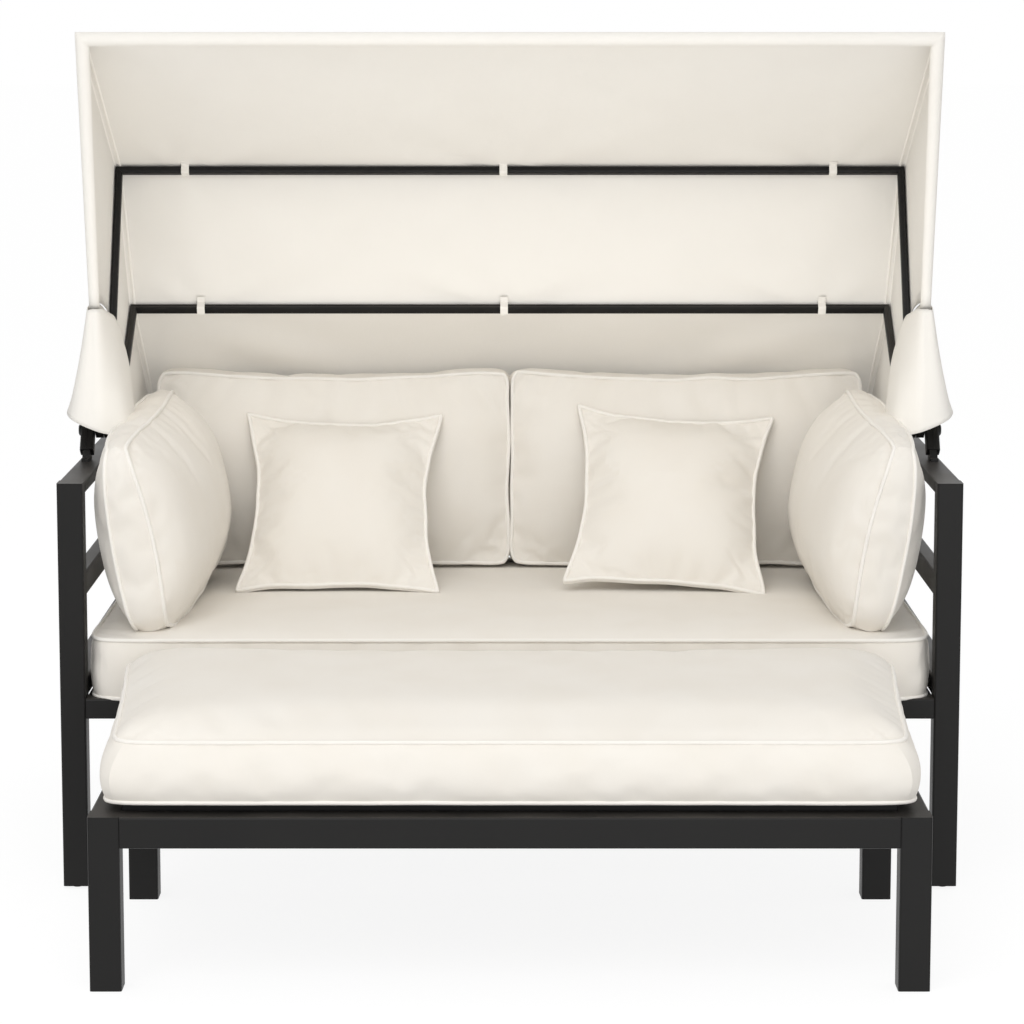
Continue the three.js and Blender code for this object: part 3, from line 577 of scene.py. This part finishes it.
def between(start, end, share, station, sag, ripple):
    """A point of the fabric between two of its lines."""
    point = start.lerp(end, share)
    slack = math.sin(math.pi * share)
    if abs(station) <= 1:
        across = 1 - station**2
        inward = (Vector((point.x, HUB.y, HUB.z)) - point).normalized()
        point += inward * (slack * sag * across + ripple(station, share))
    else:
        leg = 2 - abs(station)
        side = math.copysign(1, station)
        point.x -= side * slack * SIDE_SAG * math.sin(math.pi * leg)
        reaches = [math.hypot(q.y - HUB.y, q.z - HUB.z) for q in (start, end, point)]
        arc = (reaches[0] + (reaches[1] - reaches[0]) * share) / reaches[2]
        pull = arc + (1 - arc) * leg
        point.y = HUB.y + (point.y - HUB.y) * pull
        point.z = HUB.z + (point.z - HUB.z) * pull
    return point


def sheet_from_rows(name, rows, material):
    """One fabric sheet through rows of points, with its map in metres."""
    bm = bmesh.new()
    across, along = len(rows[0]), len(rows)
    bmesh.ops.create_grid(bm, x_segments=across - 1, y_segments=along - 1, size=1.0)
    middle = rows[along // 2]
    widths = [0.0]
    for a, b in zip(middle, middle[1:]):
        widths.append(widths[-1] + (b - a).length)
    lengths = [0.0]
    for a, b in zip(rows, rows[1:]):
        lengths.append(lengths[-1] + (b[across // 2] - a[across // 2]).length)
    layer = bm.loops.layers.uv.new("cloth")
    for vertex in bm.verts:
        i = round((vertex.co.x + 1) / 2 * (across - 1))
        j = round((vertex.co.y + 1) / 2 * (along - 1))
        for loop in vertex.link_loops:
            loop[layer].uv = (widths[i] - widths[-1] / 2, lengths[j])
        vertex.co = rows[j][i]
    bmesh.ops.recalc_face_normals(bm, faces=bm.faces[:])
    return piece_from(name, bm, material)


def give_wall(obj, thickness):
    wall = obj.modifiers.new("thickness", "SOLIDIFY")
    wall.thickness = thickness
    wall.offset = 0.0


def pulled(tabs, more):
    """Folds that run out from the tabs, and a slow wave between the bars."""

    def ripple(station, share):
        slack = math.sin(math.pi * share)
        seed = Vector((station * 3.1, share * 1.3, 4.2 + more))
        wave = SLOW_WAVE * slack * noise.noise(seed)
        for edge, places in zip((share, 1 - share), tabs):
            for place in places:
                aside = station - place / BAR_HALF
                far = math.hypot(aside, edge * 0.6)
                ray = math.sin(8 * math.atan2(aside, edge * 0.6 + 0.02) + more)
                ends = min(1, edge / 0.06) * min(1, (1 - edge) / 0.06)
                fold = TAB_FOLD * ray * min(1, far / 0.08)
                wave += fold * math.exp(-far / 0.22) * ends
        return wave * (1 - abs(station) ** 6)

    return ripple


def creased(station, share):
    """The rear section's slanted creases in from its corners."""
    slack = math.sin(math.pi * share)
    corner = 1 - abs(station)
    run = math.sin(math.tau * (2.3 * corner - 1.6 * share) + 0.7)
    fade = math.exp(-((corner - 0.35) ** 2) / 0.05)
    wave = noise.noise(Vector((station * 4.0, share * 2.2, 1.7)))
    return slack * (CREASE * run * fade + CREASE * wave)


class DAYBED_OT_canopy_sections(bpy.types.Operator):
    """Make the three fabric sections between the bows and the back rail"""

    bl_idname = "daybed.canopy_sections"
    bl_label = "Canopy sections"

    def execute(self, context):
        look = context.scene.daybed_canopy
        cloth = bpy.data.materials["canopy_cloth"]
        front, middle, rear = (BOWS[k] for k in ("front", "middle", "rear"))
        places = stations()
        lie = BOW_THICKNESS / 2 + CLEARANCE + look.thickness
        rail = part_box("back_top_rail")
        back_y, back_z = rail[1].y + CLEARANCE, rail[1].z + CLEARANCE
        reach = Vector((back_y - HUB.y, back_z - HUB.z))
        back = {
            "body": "loveseat",
            "radius": reach.length,
            "angle": math.degrees(math.atan2(reach.y, reach.x)),
            "half": rear["half"],
        }

        def line(bow, out, ahead, slim=1.0):
            return [bow_place(bow, s, out, ahead, slim) for s in places]

        def span(start, end, sag, steps, ripple):
            rows = []
            for step in range(1, steps + 1):
                share = step / steps
                ends = zip(start, end, places)
                rows.append([between(a, b, share, s, sag, ripple) for a, b, s in ends])
            return rows

        middle_tabs, rear_tabs = TAB_PLACES["middle"], TAB_PLACES["rear"]
        front_folds = pulled(((-0.668, 0.668), middle_tabs), 0.0)
        middle_folds = pulled((middle_tabs, rear_tabs), 2.0)

        # The sleeve: behind the front bar, round its front, and off to the middle bar
        pipe = SLEEVE_RADIUS - look.thickness / 2
        ahead_way = self.leaving(front, middle)
        rows = []
        for turn in range(300, -1, -20):
            a = math.radians(turn) - ahead_way
            out, ahead = pipe * math.cos(a), pipe * math.sin(a)
            rows.append(line(front, out, ahead, SLEEVE_SLIMMING))
        rows += span(rows[-1], line(middle, lie, CLEARANCE), look.sag, 30, front_folds)
        self.section("front", rows, cloth, front, middle, 15)

        turned = BOW_DEPTH / 2 + CLEARANCE + look.thickness
        rows = [line(middle, lie, -CLEARANCE), line(middle, lie, -turned)]
        rows += span(rows[-1], line(rear, lie, CLEARANCE), look.sag, 24, middle_folds)
        self.section("middle", rows, cloth, middle, rear, 1)

        rows = [line(rear, lie, -CLEARANCE), line(rear, lie, -turned)]
        seam = line(back, look.thickness, 0.0)
        rows += span(rows[-1], seam, -look.billow, 24, creased)
        rows += self.drop(rows[-1], places, back_y + look.thickness / 2 + DROP_GAP)
        self.section("rear", rows, cloth, rear, back, 1)
        return {"FINISHED"}

    @staticmethod
    def drop(last, places, y):
        """The rows that hang behind the back rail, down to one straight hem."""
        hem = last[places.index(-1.0)].z - REAR_DROP
        rows = []
        for step in range(1, DROP_STEPS + 1):
            row = []
            for place, s in zip(last, places):
                fall = REAR_DROP if abs(s) <= 1 else place.z - hem
                row.append(Vector((place.x, y, place.z - fall * step / DROP_STEPS)))
            rows.append(row)
        return rows

    @staticmethod
    def leaving(first, second):
        """The angle at which the fabric leaves one bar for the next."""
        ends = []
        for bow in (first, second):
            a = math.radians(bow["angle"])
            ends.append(Vector((math.cos(a), math.sin(a))) * bow["radius"])
        way = ends[1] - ends[0]
        turn = math.radians(first["angle"])
        x = way.x * math.cos(turn) + way.y * math.sin(turn)
        y = -way.x * math.sin(turn) + way.y * math.cos(turn)
        return math.atan2(-x, -y)

    @staticmethod
    def section(name, rows, cloth, start, end, sewn):
        """One section and its seams. The side seams start at the row named sewn."""
        look = bpy.context.scene.daybed_canopy
        obj = sheet_from_rows(f"canopy_{name}_fabric", rows, cloth)
        give_wall(obj, look.thickness)
        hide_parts(f"canopy_{name}_section")
        places = stations()
        corners = [i for i, s in enumerate(places) if abs(abs(s) - 1) < 1e-6]
        lines = []
        for corner, inwards in zip(corners, (1, -1)):
            for column in (corner, corner + 2 * inwards):
                lines.append([row[column] for row in rows[sewn:]])
        if name == "front":
            lines.append(rows[sewn + 2])
        # The seams' cords are lighter than the canopy cloth: a painted highlight along
        # each seam
        seams = cord_along(
            f"canopy_{name}_seams",
            lines,
            look.seam_radius,
            bpy.data.materials["piping_cloth"],
            closed=False,
        )
        for piece in (obj, seams):
            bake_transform(piece)


class DAYBED_OT_canopy_skirts(bpy.types.Operator):
    """Make the bell of fabric round each pivot"""

    bl_idname = "daybed.canopy_skirts"
    bl_label = "Canopy skirts"

    def execute(self, context):
        look = context.scene.daybed_canopy
        cloth = bpy.data.materials["canopy_cloth"]
        rows = self.rows()
        for name, side in SIDES.items():
            turned = [[Vector((p.x * side, p.y, p.z)) for p in row] for row in rows]
            obj = sheet_from_rows(f"canopy_skirt_fabric_{name}", turned, cloth)
            give_wall(obj, look.thickness)
            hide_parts(f"canopy_skirt_{name}")
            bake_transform(obj)
        return {"FINISHED"}

    @staticmethod
    def rows():
        """A bell's rows from its sewn edge to its hem, with x counted outwards."""
        # The sewn edge as distance out, angle and reach from the pivot
        edge = [
            (0.632, 12.0, 0.118),
            (0.632, 32.4, 0.154),
            (0.6455, 62.6, 0.184),
            (0.650, 88.0, 0.190),
            (0.657, 104.0, 0.208),
            (0.668, 107.2, 0.212),
            (0.679, 102.5, 0.209),
            (0.6640, 62.6, 0.2045),
            (0.6483, 20.0, 0.2045),
        ]
        # The hem as distance out, along and up from the pivot
        hem = [
            (0.6263, 0.118, 0.032),
            (0.618, 0.060, 0.024),
            (0.610, 0.0, 0.010),
            (0.613, -0.064, -0.002),
            (0.640, -0.086, 0.002),
            (0.668, -0.094, 0.0106),
            (0.708, -0.0736, 0.027),
            (0.716, 0.0, 0.034),
            (0.700, 0.118, 0.048),
        ]
        edge, hem = [Vector(p) for p in edge], [Vector(p) for p in hem]
        columns, steps = 90, 26
        rows = []
        for step in range(steps + 1):
            drop = step / steps
            row = []
            for column in range(columns + 1):
                turn = column / columns
                x, angle, reach = smooth_point(edge, turn)
                a = math.radians(angle)
                up = Vector((x, reach * math.cos(a), reach * math.sin(a)))
                point = up.lerp(smooth_point(hem, turn), drop)
                outer = max(0.0, turn - 0.5) * 2
                fold = 0.003 * math.sin(6 * math.pi * turn)
                fold += 0.005 * noise.noise(Vector((turn * 9, drop * 1.5, 3.0)))
                point.x -= outer * drop * fold
                row.append(HUB + point)
            rows.append(row)
        return rows


def smooth_point(points, share):
    """A point on a smooth curve through the given points."""
    place = share * (len(points) - 1)
    i = min(int(place), len(points) - 2)
    t = place - i
    before = points[i - 1] if i > 0 else points[0] * 2 - points[1]
    after = points[i + 2] if i + 2 < len(points) else points[-1] * 2 - points[-2]
    a, b = points[i], points[i + 1]
    return 0.5 * (
        2 * a
        + (b - before) * t
        + (2 * before - 5 * a + 4 * b - after) * t**2
        + (3 * a - before - 3 * b + after) * t**3
    )


class DAYBED_OT_canopy_tabs(bpy.types.Operator):
    """Make the tabs that hold the fabric to the middle and rear bars"""

    bl_idname = "daybed.canopy_tabs"
    bl_label = "Canopy tabs"

    def execute(self, context):
        cloth = bpy.data.materials["canopy_cloth"]
        for name, places in TAB_PLACES.items():
            bow = BOWS[name]
            for i, x in enumerate(places, 1):
                obj = self.tab(f"{name}_bow_tab_{i}", bow, x, cloth)
                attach(obj, bow["body"])
        return {"FINISHED"}

    @staticmethod
    def tab(name, bow, x, cloth):
        """A strap round the bar's underside with its ends flat against the fabric."""
        across, deep = BOW_THICKNESS / 2 + 0.0009, BOW_DEPTH / 2 + 0.0009
        outline = [
            (across + 0.0005, deep + 0.012),
            (across - 0.0005, deep + 0.002),
            (-across + 0.002, deep),
            (-across, deep - 0.002),
            (-across, -deep + 0.002),
            (-across + 0.002, -deep),
            (across - 0.0005, -deep - 0.002),
            (across + 0.0005, -deep - 0.012),
        ]
        bm = bmesh.new()
        left = x - TAB_WIDTH / 2
        corners = [from_hub(bow, left, bow["radius"] + o, a) for o, a in outline]
        verts = [bm.verts.new(p) for p in corners]
        edges = [bm.edges.new(pair) for pair in zip(verts, verts[1:])]
        grown = bmesh.ops.extrude_edge_only(bm, edges=edges)["geom"]
        moved = [g for g in grown if isinstance(g, bmesh.types.BMVert)]
        bmesh.ops.translate(bm, verts=moved, vec=(TAB_WIDTH, 0, 0))
        obj = piece_from(name, bm, cloth, smooth=False)
        lay_map(obj)
        give_wall(obj, TAB_THICKNESS)
        rounded = obj.modifiers.new("rounded", "BEVEL")
        rounded.width = 0.0004
        rounded.segments = 2
        return obj


# Cushions


# How each cushion is shaped, in metres, lying down with its lower or front edge to -Y.
# "crowns" rise from its two faces, "ends" and "sides" are drawn in between the corners,
# the sides below and above, "square", "along" and "across" are powers of its outline
# and crown, "cells" its mesh, "wave" how its seams wander, "slack" and "cap" how it
# swells. "rest" says which side of its solid's box it is laid against on each axis,
# with 0 for the middle, and "nudge" moves it from there.
PLAIN = {
    "belly": 0.0,
    "taper": 0.0,
    "lift": 0.0,
    "flare": 0.0,
    "ears": 0.0,
    "rest": (0, 0, -1),
    "nudge": (0.0, 0.0, 0.0),
}
SHAPES = {
    "seat": {
        "size": (1.312, 0.816, 0.092),
        "crowns": (0.016, 0.0),
        "ends": 0.010,
        "sides": (0.006, 0.006),
        "swell": 0.004,
        "square": 20,
        "along": 8.0,
        "across": 6.0,
        "cells": (92, 58, 7),
        "wave": 0.0012,
        "slack": 0.012,
        "cap": 0.007,
    },
    "back": {
        "size": (0.600, 0.330, 0.118),
        "crowns": (0.040, 0.018),
        "ends": 0.006,
        "sides": (0.012, 0.085),
        "belly": 0.004,
        "ears": 0.004,
        "swell": 0.004,
        "square": 16,
        "along": 4.4,
        "across": 3.4,
        "cells": (60, 36, 12),
        "wave": 0.0040,
        "slack": 0.030,
        "cap": 0.016,
        "nudge": (0.0, 0.0, -0.002),
    },
    "side": {
        "size": (0.562, 0.316, 0.038),
        "crowns": (0.066, 0.042),
        "ends": 0.030,
        "sides": (0.02, 0.05),
        "belly": 0.013,
        "taper": 0.25,
        "swell": 0.006,
        "square": 6.5,
        "along": 8.0,
        "across": 3.4,
        "cells": (58, 36, 8),
        "wave": 0.0036,
        "slack": 0.024,
        "cap": 0.018,
        "rest": (1, -1, -1),
        "nudge": (0.007, -0.010, -0.006),
    },
    "throw": {
        "size": (0.322, 0.354, 0.005),
        "crowns": (0.064, 0.060),
        "ends": 0.13,
        "sides": (0.05, 0.10),
        "ears": 0.010,
        "swell": 0.0,
        "square": 20,
        "along": 2.4,
        "across": 2.4,
        "cells": (54, 58, 1),
        "wave": 0.0050,
        "slack": 0.035,
        "cap": 0.014,
    },
    "ottoman": {
        "size": (1.146, 0.524, 0.086),
        "crowns": (0.040, 0.0),
        "ends": 0.008,
        "sides": (0.008, 0.008),
        "lift": 0.016,
        "flare": 0.030,
        "swell": 0.014,
        "square": 20,
        "along": 30.0,
        "across": 22.0,
        "cells": (92, 46, 9),
        "wave": 0.0018,
        "slack": 0.010,
        "cap": 0.016,
    },
}


def cushion_mesh(shape, crowns, pucker, seed):
    """A boxed cushion about the origin, and its two seams as loops of vertices."""
    width, depth, height = shape["size"]
    power = shape["square"]
    bm = bmesh.new()
    bmesh.ops.create_cube(bm, size=2.0)
    limit = 1 - 1e-6
    for axis, count in enumerate(shape["cells"]):
        edges = [
            e for e in bm.edges if abs(e.verts[0].co[axis] - e.verts[1].co[axis]) > 1.5
        ]
        bmesh.ops.subdivide_edges(bm, edges=edges, cuts=count - 1, use_grid_fill=True)
    seams = {1: [], -1: []}
    boxed = []
    for vertex in bm.verts:
        flat_u, flat_v, level = vertex.co
        u, v = (math.sin(math.pi / 2 * c) for c in (flat_u, flat_v))
        reach = max(abs(u), abs(v))
        rim, face = reach > limit, abs(level) > limit
        if rim and face:
            seams[1 if level > 0 else -1].append((math.atan2(v, u), vertex))
        corner = abs(u / reach) ** power + abs(v / reach) ** power if reach else 1.0
        shrink = corner ** (-1 / power)
        ear = shape["ears"] * abs(u * v) ** 7
        drawn = shape["sides"][1 if v > 0 else 0]
        x = u * shrink * (1 - shape["ends"] * (1 - v * v) * u * u) * width / 2 + u * ear
        y = v * shrink * (1 - drawn * (1 - u * u) * v * v) * depth / 2 + v * ear
        # The sewn edges wander a little
        side = math.copysign(1, level) if height > 0.02 else 1
        wander = shape["wave"] * noise.noise(Vector((u, y * WANDER_SCALE, seed + side)))
        x += wander * u * abs(u) ** 5
        wander = shape["wave"] * noise.noise(Vector((x * WANDER_SCALE, v, seed + side)))
        y += wander * v * abs(v) ** 5
        belly = shape["belly"] * (1 - u * u * v * v)
        half = height / 2 * (1 - shape["taper"] * v) + belly
        crown = (1 - abs(u) ** shape["along"]) * (1 - abs(v) ** shape["across"])
        if face:
            rise = crowns[0] if level > 0 else crowns[1]
            inset = min((1 - abs(u)) * width, (1 - abs(v)) * depth) / 2
            spot = Vector((x * GATHER_SCALE, y * GATHER_SCALE, seed + level))
            gather = noise.noise(spot)
            tuck = pucker * math.exp(-inset / GATHER_REACH)
            gather *= tuck * min(1, inset / GATHER_START)
            gather *= rise > 0
            z = level * (half + rise * crown + gather)
        else:
            boxed.append(vertex)
            z = level * half
            spot = Vector((x * PUCKER_SCALE, y * PUCKER_SCALE, seed + 9))
            bulge = shape["swell"] + pucker * PUCKER_SHARE * noise.noise(spot)
            bulge *= 1 - level**2
            x += math.copysign(bulge, u) * abs(u) ** BULGE_POWER
            y += math.copysign(bulge, v) * abs(v) ** BULGE_POWER
        z += shape["lift"] * (1 + v) * (1 + level) / 4
        x *= 1 + shape["flare"] * v * (1 + level) / 2
        vertex.co = (x, y, z)
    bm.verts.index_update()
    loops = [sorted(seam, key=lambda found: found[0]) for seam in seams.values()]
    boxing = {vertex.index for vertex in boxed}
    return bm, [[vertex.index for _, vertex in loop] for loop in loops], boxing


def swell(cover, seams, boxing, flat_below, cap, slack):
    """Swells a cover as cloth under pressure. Its seams hold, its moves are capped."""
    scene = bpy.context.scene
    held = cover.vertex_groups.new(name="held")
    held.add([i for seam in seams for i in seam], 1.0, "REPLACE")
    if flat_below:
        low = min(v.co.z for v in cover.data.vertices) + FLAT_TOLERANCE
        held.add([v.index for v in cover.data.vertices if v.co.z < low], 1.0, "REPLACE")
    cloth = cover.modifiers.new("swell", "CLOTH")
    cloth.settings.vertex_group_mass = held.name
    cloth.settings.quality = 5
    cloth.settings.use_pressure = True
    cloth.settings.uniform_pressure_force = SWELL_PRESSURE
    cloth.settings.shrink_min = -slack
    cloth.settings.bending_stiffness = 0.08
    cloth.settings.effector_weights.gravity = 0.0
    cloth.collision_settings.use_collision = False
    cloth.point_cache.frame_start = 1
    cloth.point_cache.frame_end = SWELL_STEPS
    for step in range(1, SWELL_STEPS + 1):
        scene.frame_set(step)
    ready = cover.evaluated_get(bpy.context.evaluated_depsgraph_get())
    places = [v.co.copy() for v in ready.data.vertices]
    cover.modifiers.remove(cloth)
    cover.vertex_groups.remove(held)
    scene.frame_set(1)
    for vertex, place in zip(cover.data.vertices, places):
        move = place - vertex.co
        length = move.length
        most = cap * BOXING_SHARE if vertex.index in boxing else cap
        if length > 1e-6:
            vertex.co += move * (most * math.tanh(length / most) / length)


def add_cushion(node, kind, turn, seed, side=1):
    """A cushion's cover and piping in its solid's place, riding its solid's body."""
    look = bpy.context.scene.daybed_cushions
    shape = {**PLAIN, **SHAPES[kind]}
    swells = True
    # The crowns start lower where the cloth is to swell
    crowns = [max(c - swells * shape["cap"] * 0.8, c * 0.2) for c in shape["crowns"]]
    if kind == "side" and side > 0:
        crowns.reverse()
    bm, seams, boxing = cushion_mesh(shape, crowns, look.pucker, seed)
    cover = piece_from(
        f"{node}_cover", bm, bpy.data.materials["cushion_cloth"]
    )
    if swells:
        flat = shape["crowns"][1] == 0
        swell(cover, seams, boxing, flat, shape["cap"], shape["slack"])
    cover.data.transform(turn)
    places = [v.co for v in cover.data.vertices]
    ends = [Vector([f(p[i] for p in places) for i in range(3)]) for f in (min, max)]
    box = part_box(node)
    move = Vector(shape["nudge"])
    move.x *= side
    for axis, rest in enumerate(shape["rest"]):
        rest *= side if axis == 0 else 1
        shares = ((1 - rest) / 2, (1 + rest) / 2)
        move[axis] += sum((b[axis] - e[axis]) * k for b, e, k in zip(box, ends, shares))
    cover.data.transform(Matrix.Translation(move))
    loops = [[cover.data.vertices[i].co.copy() for i in loop] for loop in seams]
    finish = cover.modifiers.new("smooth", "SUBSURF")
    finish.levels = finish.render_levels = 1
    lay_map(cover)
    bodies = frame["record"]["behaviour"]["bodies"]
    rides = next(b for b, nodes in bodies.items() if node in nodes)
    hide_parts(node)
    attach(cover, rides)
    # The piping's lighter colour is a painted highlight along the seams
    cord = cord_along(
        f"{node}_piping",
        loops,
        look.piping_radius,
        bpy.data.materials["piping_cloth"],
    )
    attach(cord, rides)


class DAYBED_OT_seat_cushion(bpy.types.Operator):
    """Make the seat cushion"""

    bl_idname = "daybed.seat_cushion"
    bl_label = "Seat cushion"

    def execute(self, context):
        add_cushion("seat_cushion", "seat", Matrix.Identity(4), seed=1.0)
        return {"FINISHED"}


class DAYBED_OT_back_cushions(bpy.types.Operator):
    """Make the two back cushions"""

    bl_idname = "daybed.back_cushions"
    bl_label = "Back cushions"

    def execute(self, context):
        turn = Matrix.Rotation(math.pi / 2 - BACK_LEAN, 4, "X")
        for name, side in SIDES.items():
            add_cushion(f"back_cushion_{name}", "back", turn, seed=2.0 + side)
        return {"FINISHED"}


class DAYBED_OT_side_pillows(bpy.types.Operator):
    """Make the two pillows that lean on the arms"""

    bl_idname = "daybed.side_pillows"
    bl_label = "Side pillows"

    def execute(self, context):
        for name, side in SIDES.items():
            turn = (
                Matrix.Rotation(PILLOW_PITCH, 4, "X")
                @ Matrix.Rotation(side * PILLOW_TURN, 4, "Z")
                @ Matrix.Rotation(side * PILLOW_TILT, 4, "Y")
                @ Matrix.Rotation(math.pi / 2, 4, "Z")
                @ Matrix.Rotation(math.pi / 2, 4, "X")
            )
            add_cushion(f"side_pillow_{name}", "side", turn, seed=5.0 + side, side=side)
        return {"FINISHED"}


class DAYBED_OT_throw_pillows(bpy.types.Operator):
    """Make the two square throw pillows"""

    bl_idname = "daybed.throw_pillows"
    bl_label = "Throw pillows"

    def execute(self, context):
        lean = Matrix.Rotation(THROW_LEAN, 4, "X")
        for name, roll in THROW_ROLLS.items():
            turn = lean @ Matrix.Rotation(math.radians(roll), 4, "Z")
            add_cushion(f"throw_pillow_{name}", "throw", turn, seed=8.0 + SIDES[name])
        return {"FINISHED"}


class DAYBED_OT_ottoman_cushion(bpy.types.Operator):
    """Make the ottoman's cushion"""

    bl_idname = "daybed.ottoman_cushion"
    bl_label = "Ottoman cushion"

    def execute(self, context):
        add_cushion("ottoman_cushion", "ottoman", Matrix.Identity(4), seed=11.0)
        return {"FINISHED"}


class DAYBED_OT_finishes(bpy.types.Operator):
    """Make the materials and paint the solids that stay as they are"""

    bl_idname = "daybed.finishes"
    bl_label = "Finishes"

    def execute(self, context):
        scene = context.scene
        frame_look = scene.daybed_frame
        cushions = scene.daybed_cushions
        canopy = scene.daybed_canopy
        effects = {"weave": build_weave(), "orange_peel": build_orange_peel()}
        paints = {
            "frame": coat_material(
                "black_powder_coat", frame_look.coat, frame_look.dust_and_sheen, 0.0, effects
            ),
            "foot": coat_material("black_foot_plastic", *PLASTIC, 0.0, effects),
            "bolt": coat_material("blackened_steel", *STEEL, 0.8, effects),
        }
        for name, colour in (
            ("cushion_cloth", cushions.colour),
            ("piping_cloth", cushions.piping),
            ("canopy_cloth", canopy.colour),
        ):
            shade, thread, mottle = CLOTHS[name]
            tint = [c * s for c, s in zip(colour, shade)]
            cloth_material(name, colour, tint, thread, mottle, effects)
        slots = {p["node"]: p["material_slot"] for p in frame["record"]["subparts"]}
        for node, obj in frame["nodes"].items():
            paint = paints.get(slots[node])
            if paint is None:
                continue
            if not obj.material_slots:
                obj.data.materials.append(paint)
            for slot in obj.material_slots:
                slot.material = paint
        return {"FINISHED"}


def seen_rays(n):
    """1 where the camera sees a surface, also in gloss and through glass."""
    rays = n.add("ShaderNodeLightPath").outputs
    seen = n.math("MAXIMUM", rays["Is Camera Ray"], rays["Is Glossy Ray"])
    return n.math("MAXIMUM", seen, rays["Is Transmission Ray"])


class DAYBED_OT_stage(bpy.types.Operator):
    """Make the camera, the lamps, the sky and the floor"""

    bl_idname = "daybed.stage"
    bl_label = "Stage"

    def execute(self, context):
        look = context.scene.daybed_stage
        data = bpy.data.cameras.new("camera")
        data.lens = look.lens
        data.sensor_width = 36.0
        data.clip_end = 200.0
        data.shift_x = look.shift
        camera = bpy.data.objects.new("camera", data)
        context.scene.collection.objects.link(camera)
        camera.location = (0.0, FRAME_FRONT - look.distance, look.height)
        camera.rotation_euler = (math.pi / 2 - look.pitch, 0.0, 0.0)
        context.scene.camera = camera
        self.lamp("key_lamp", *KEY_LAMP, look.key_power)
        self.lamp("fill_lamp", *FILL_LAMP, look.fill_power)
        lamp = self.lamp("canopy_lamp", *CANOPY_LAMP, look.canopy_power)
        # It lights the canopy alone, and only the canopy is in its way
        canopy = bpy.data.collections.new("canopy_fabric")
        starts = ("canopy_", "middle_bow_tab", "rear_bow_tab")
        for obj in context.scene.objects:
            if obj.type == "MESH" and obj.name.startswith(starts):
                canopy.objects.link(obj)
        lamp.light_linking.receiver_collection = canopy
        lamp.light_linking.blocker_collection = canopy
        self.sky(context, look)
        self.floor()
        context.scene.view_settings.view_transform = "Standard"
        return {"FINISHED"}

    @staticmethod
    def lamp(name, place, aim, size, power):
        data = bpy.data.lights.new(name, "AREA")
        data.shape = "RECTANGLE"
        data.size, data.size_y = size
        data.energy = power
        lamp = bpy.data.objects.new(name, data)
        bpy.context.scene.collection.objects.link(lamp)
        lamp.location = place
        way = Vector(aim) - lamp.location
        lamp.rotation_euler = way.to_track_quat("-Z", "Y").to_euler()
        return lamp

    @staticmethod
    def sky(context, look):
        world = bpy.data.worlds.new("sky")
        world.use_nodes = True
        n = Nodes(world.node_tree)
        backdrop = world.node_tree.nodes["Background"]
        backdrop.inputs["Color"].default_value = WHITE
        strength = n.ramp(seen_rays(n), 0.0, 1.0, look.sky, 1.0)
        n.set(backdrop, "Strength", strength)
        context.scene.world = world

    @staticmethod
    def floor():
        bm = bmesh.new()
        bmesh.ops.create_grid(bm, x_segments=1, y_segments=1, size=60.0)
        mesh = bpy.data.meshes.new("floor")
        bm.to_mesh(mesh)
        bm.free()
        material, n, shader = new_material("pale_floor")
        shader.inputs["Base Color"].default_value = (0.9, 0.9, 0.9, 1)
        shader.inputs["Roughness"].default_value = 0.9
        glow = n.add("ShaderNodeEmission")
        glow.inputs["Color"].default_value = WHITE
        # With the floor's own share of light this makes white, and shadow stays darker
        glow.inputs["Strength"].default_value = FLOOR_GLOW
        share = n.math("MULTIPLY", seen_rays(n), FLOOR_GLOW_SHARE)
        both = n.tree.nodes.new("ShaderNodeMixShader")
        n.set(both, 0, share)
        n.set(both, 1, shader.outputs["BSDF"])
        n.set(both, 2, glow.outputs["Emission"])
        output = n.tree.nodes["Material Output"]
        n.set(output, "Surface", both.outputs["Shader"])
        mesh.materials.append(material)
        obj = bpy.data.objects.new("floor", mesh)
        bpy.context.scene.collection.objects.link(obj)


class DAYBED_PT_panel(bpy.types.Panel):
    """Lists the steps that dress the daybed"""

    bl_idname = "DAYBED_PT_panel"
    bl_label = "Canopy Daybed"
    bl_space_type = "VIEW_3D"
    bl_region_type = "UI"
    bl_category = "Daybed"

    def draw(self, context):
        for group in ("stage", "frame", "canopy", "cushions"):
            look = getattr(context.scene, f"daybed_{group}")
            box = self.layout.box()
            for name in look.__annotations__:
                box.prop(look, name)
        for step in STEPS:
            self.layout.operator(step.bl_idname)


STEPS = (
    DAYBED_OT_finishes,
    DAYBED_OT_canopy_sections,
    DAYBED_OT_canopy_skirts,
    DAYBED_OT_canopy_tabs,
    DAYBED_OT_seat_cushion,
    DAYBED_OT_back_cushions,
    DAYBED_OT_side_pillows,
    DAYBED_OT_throw_pillows,
    DAYBED_OT_ottoman_cushion,
    DAYBED_OT_stage,
)
LOOKS = {
    "daybed_stage": DaybedStageLook,
    "daybed_frame": DaybedFrameLook,
    "daybed_canopy": DaybedCanopyLook,
    "daybed_cushions": DaybedCushionLook,
}


def register():
    for cls in (*LOOKS.values(), *STEPS, DAYBED_PT_panel):
        bpy.utils.register_class(cls)
    for name, look in LOOKS.items():
        setattr(bpy.types.Scene, name, PointerProperty(type=look))


def unregister():
    for name in LOOKS:
        delattr(bpy.types.Scene, name)
    for cls in (DAYBED_PT_panel, *reversed(STEPS), *LOOKS.values()):
        bpy.utils.unregister_class(cls)


def main():
    register()
    for step in STEPS:
        group, name = step.bl_idname.split(".")
        getattr(getattr(bpy.ops, group), name)()


if __name__ == "__main__":
    main()
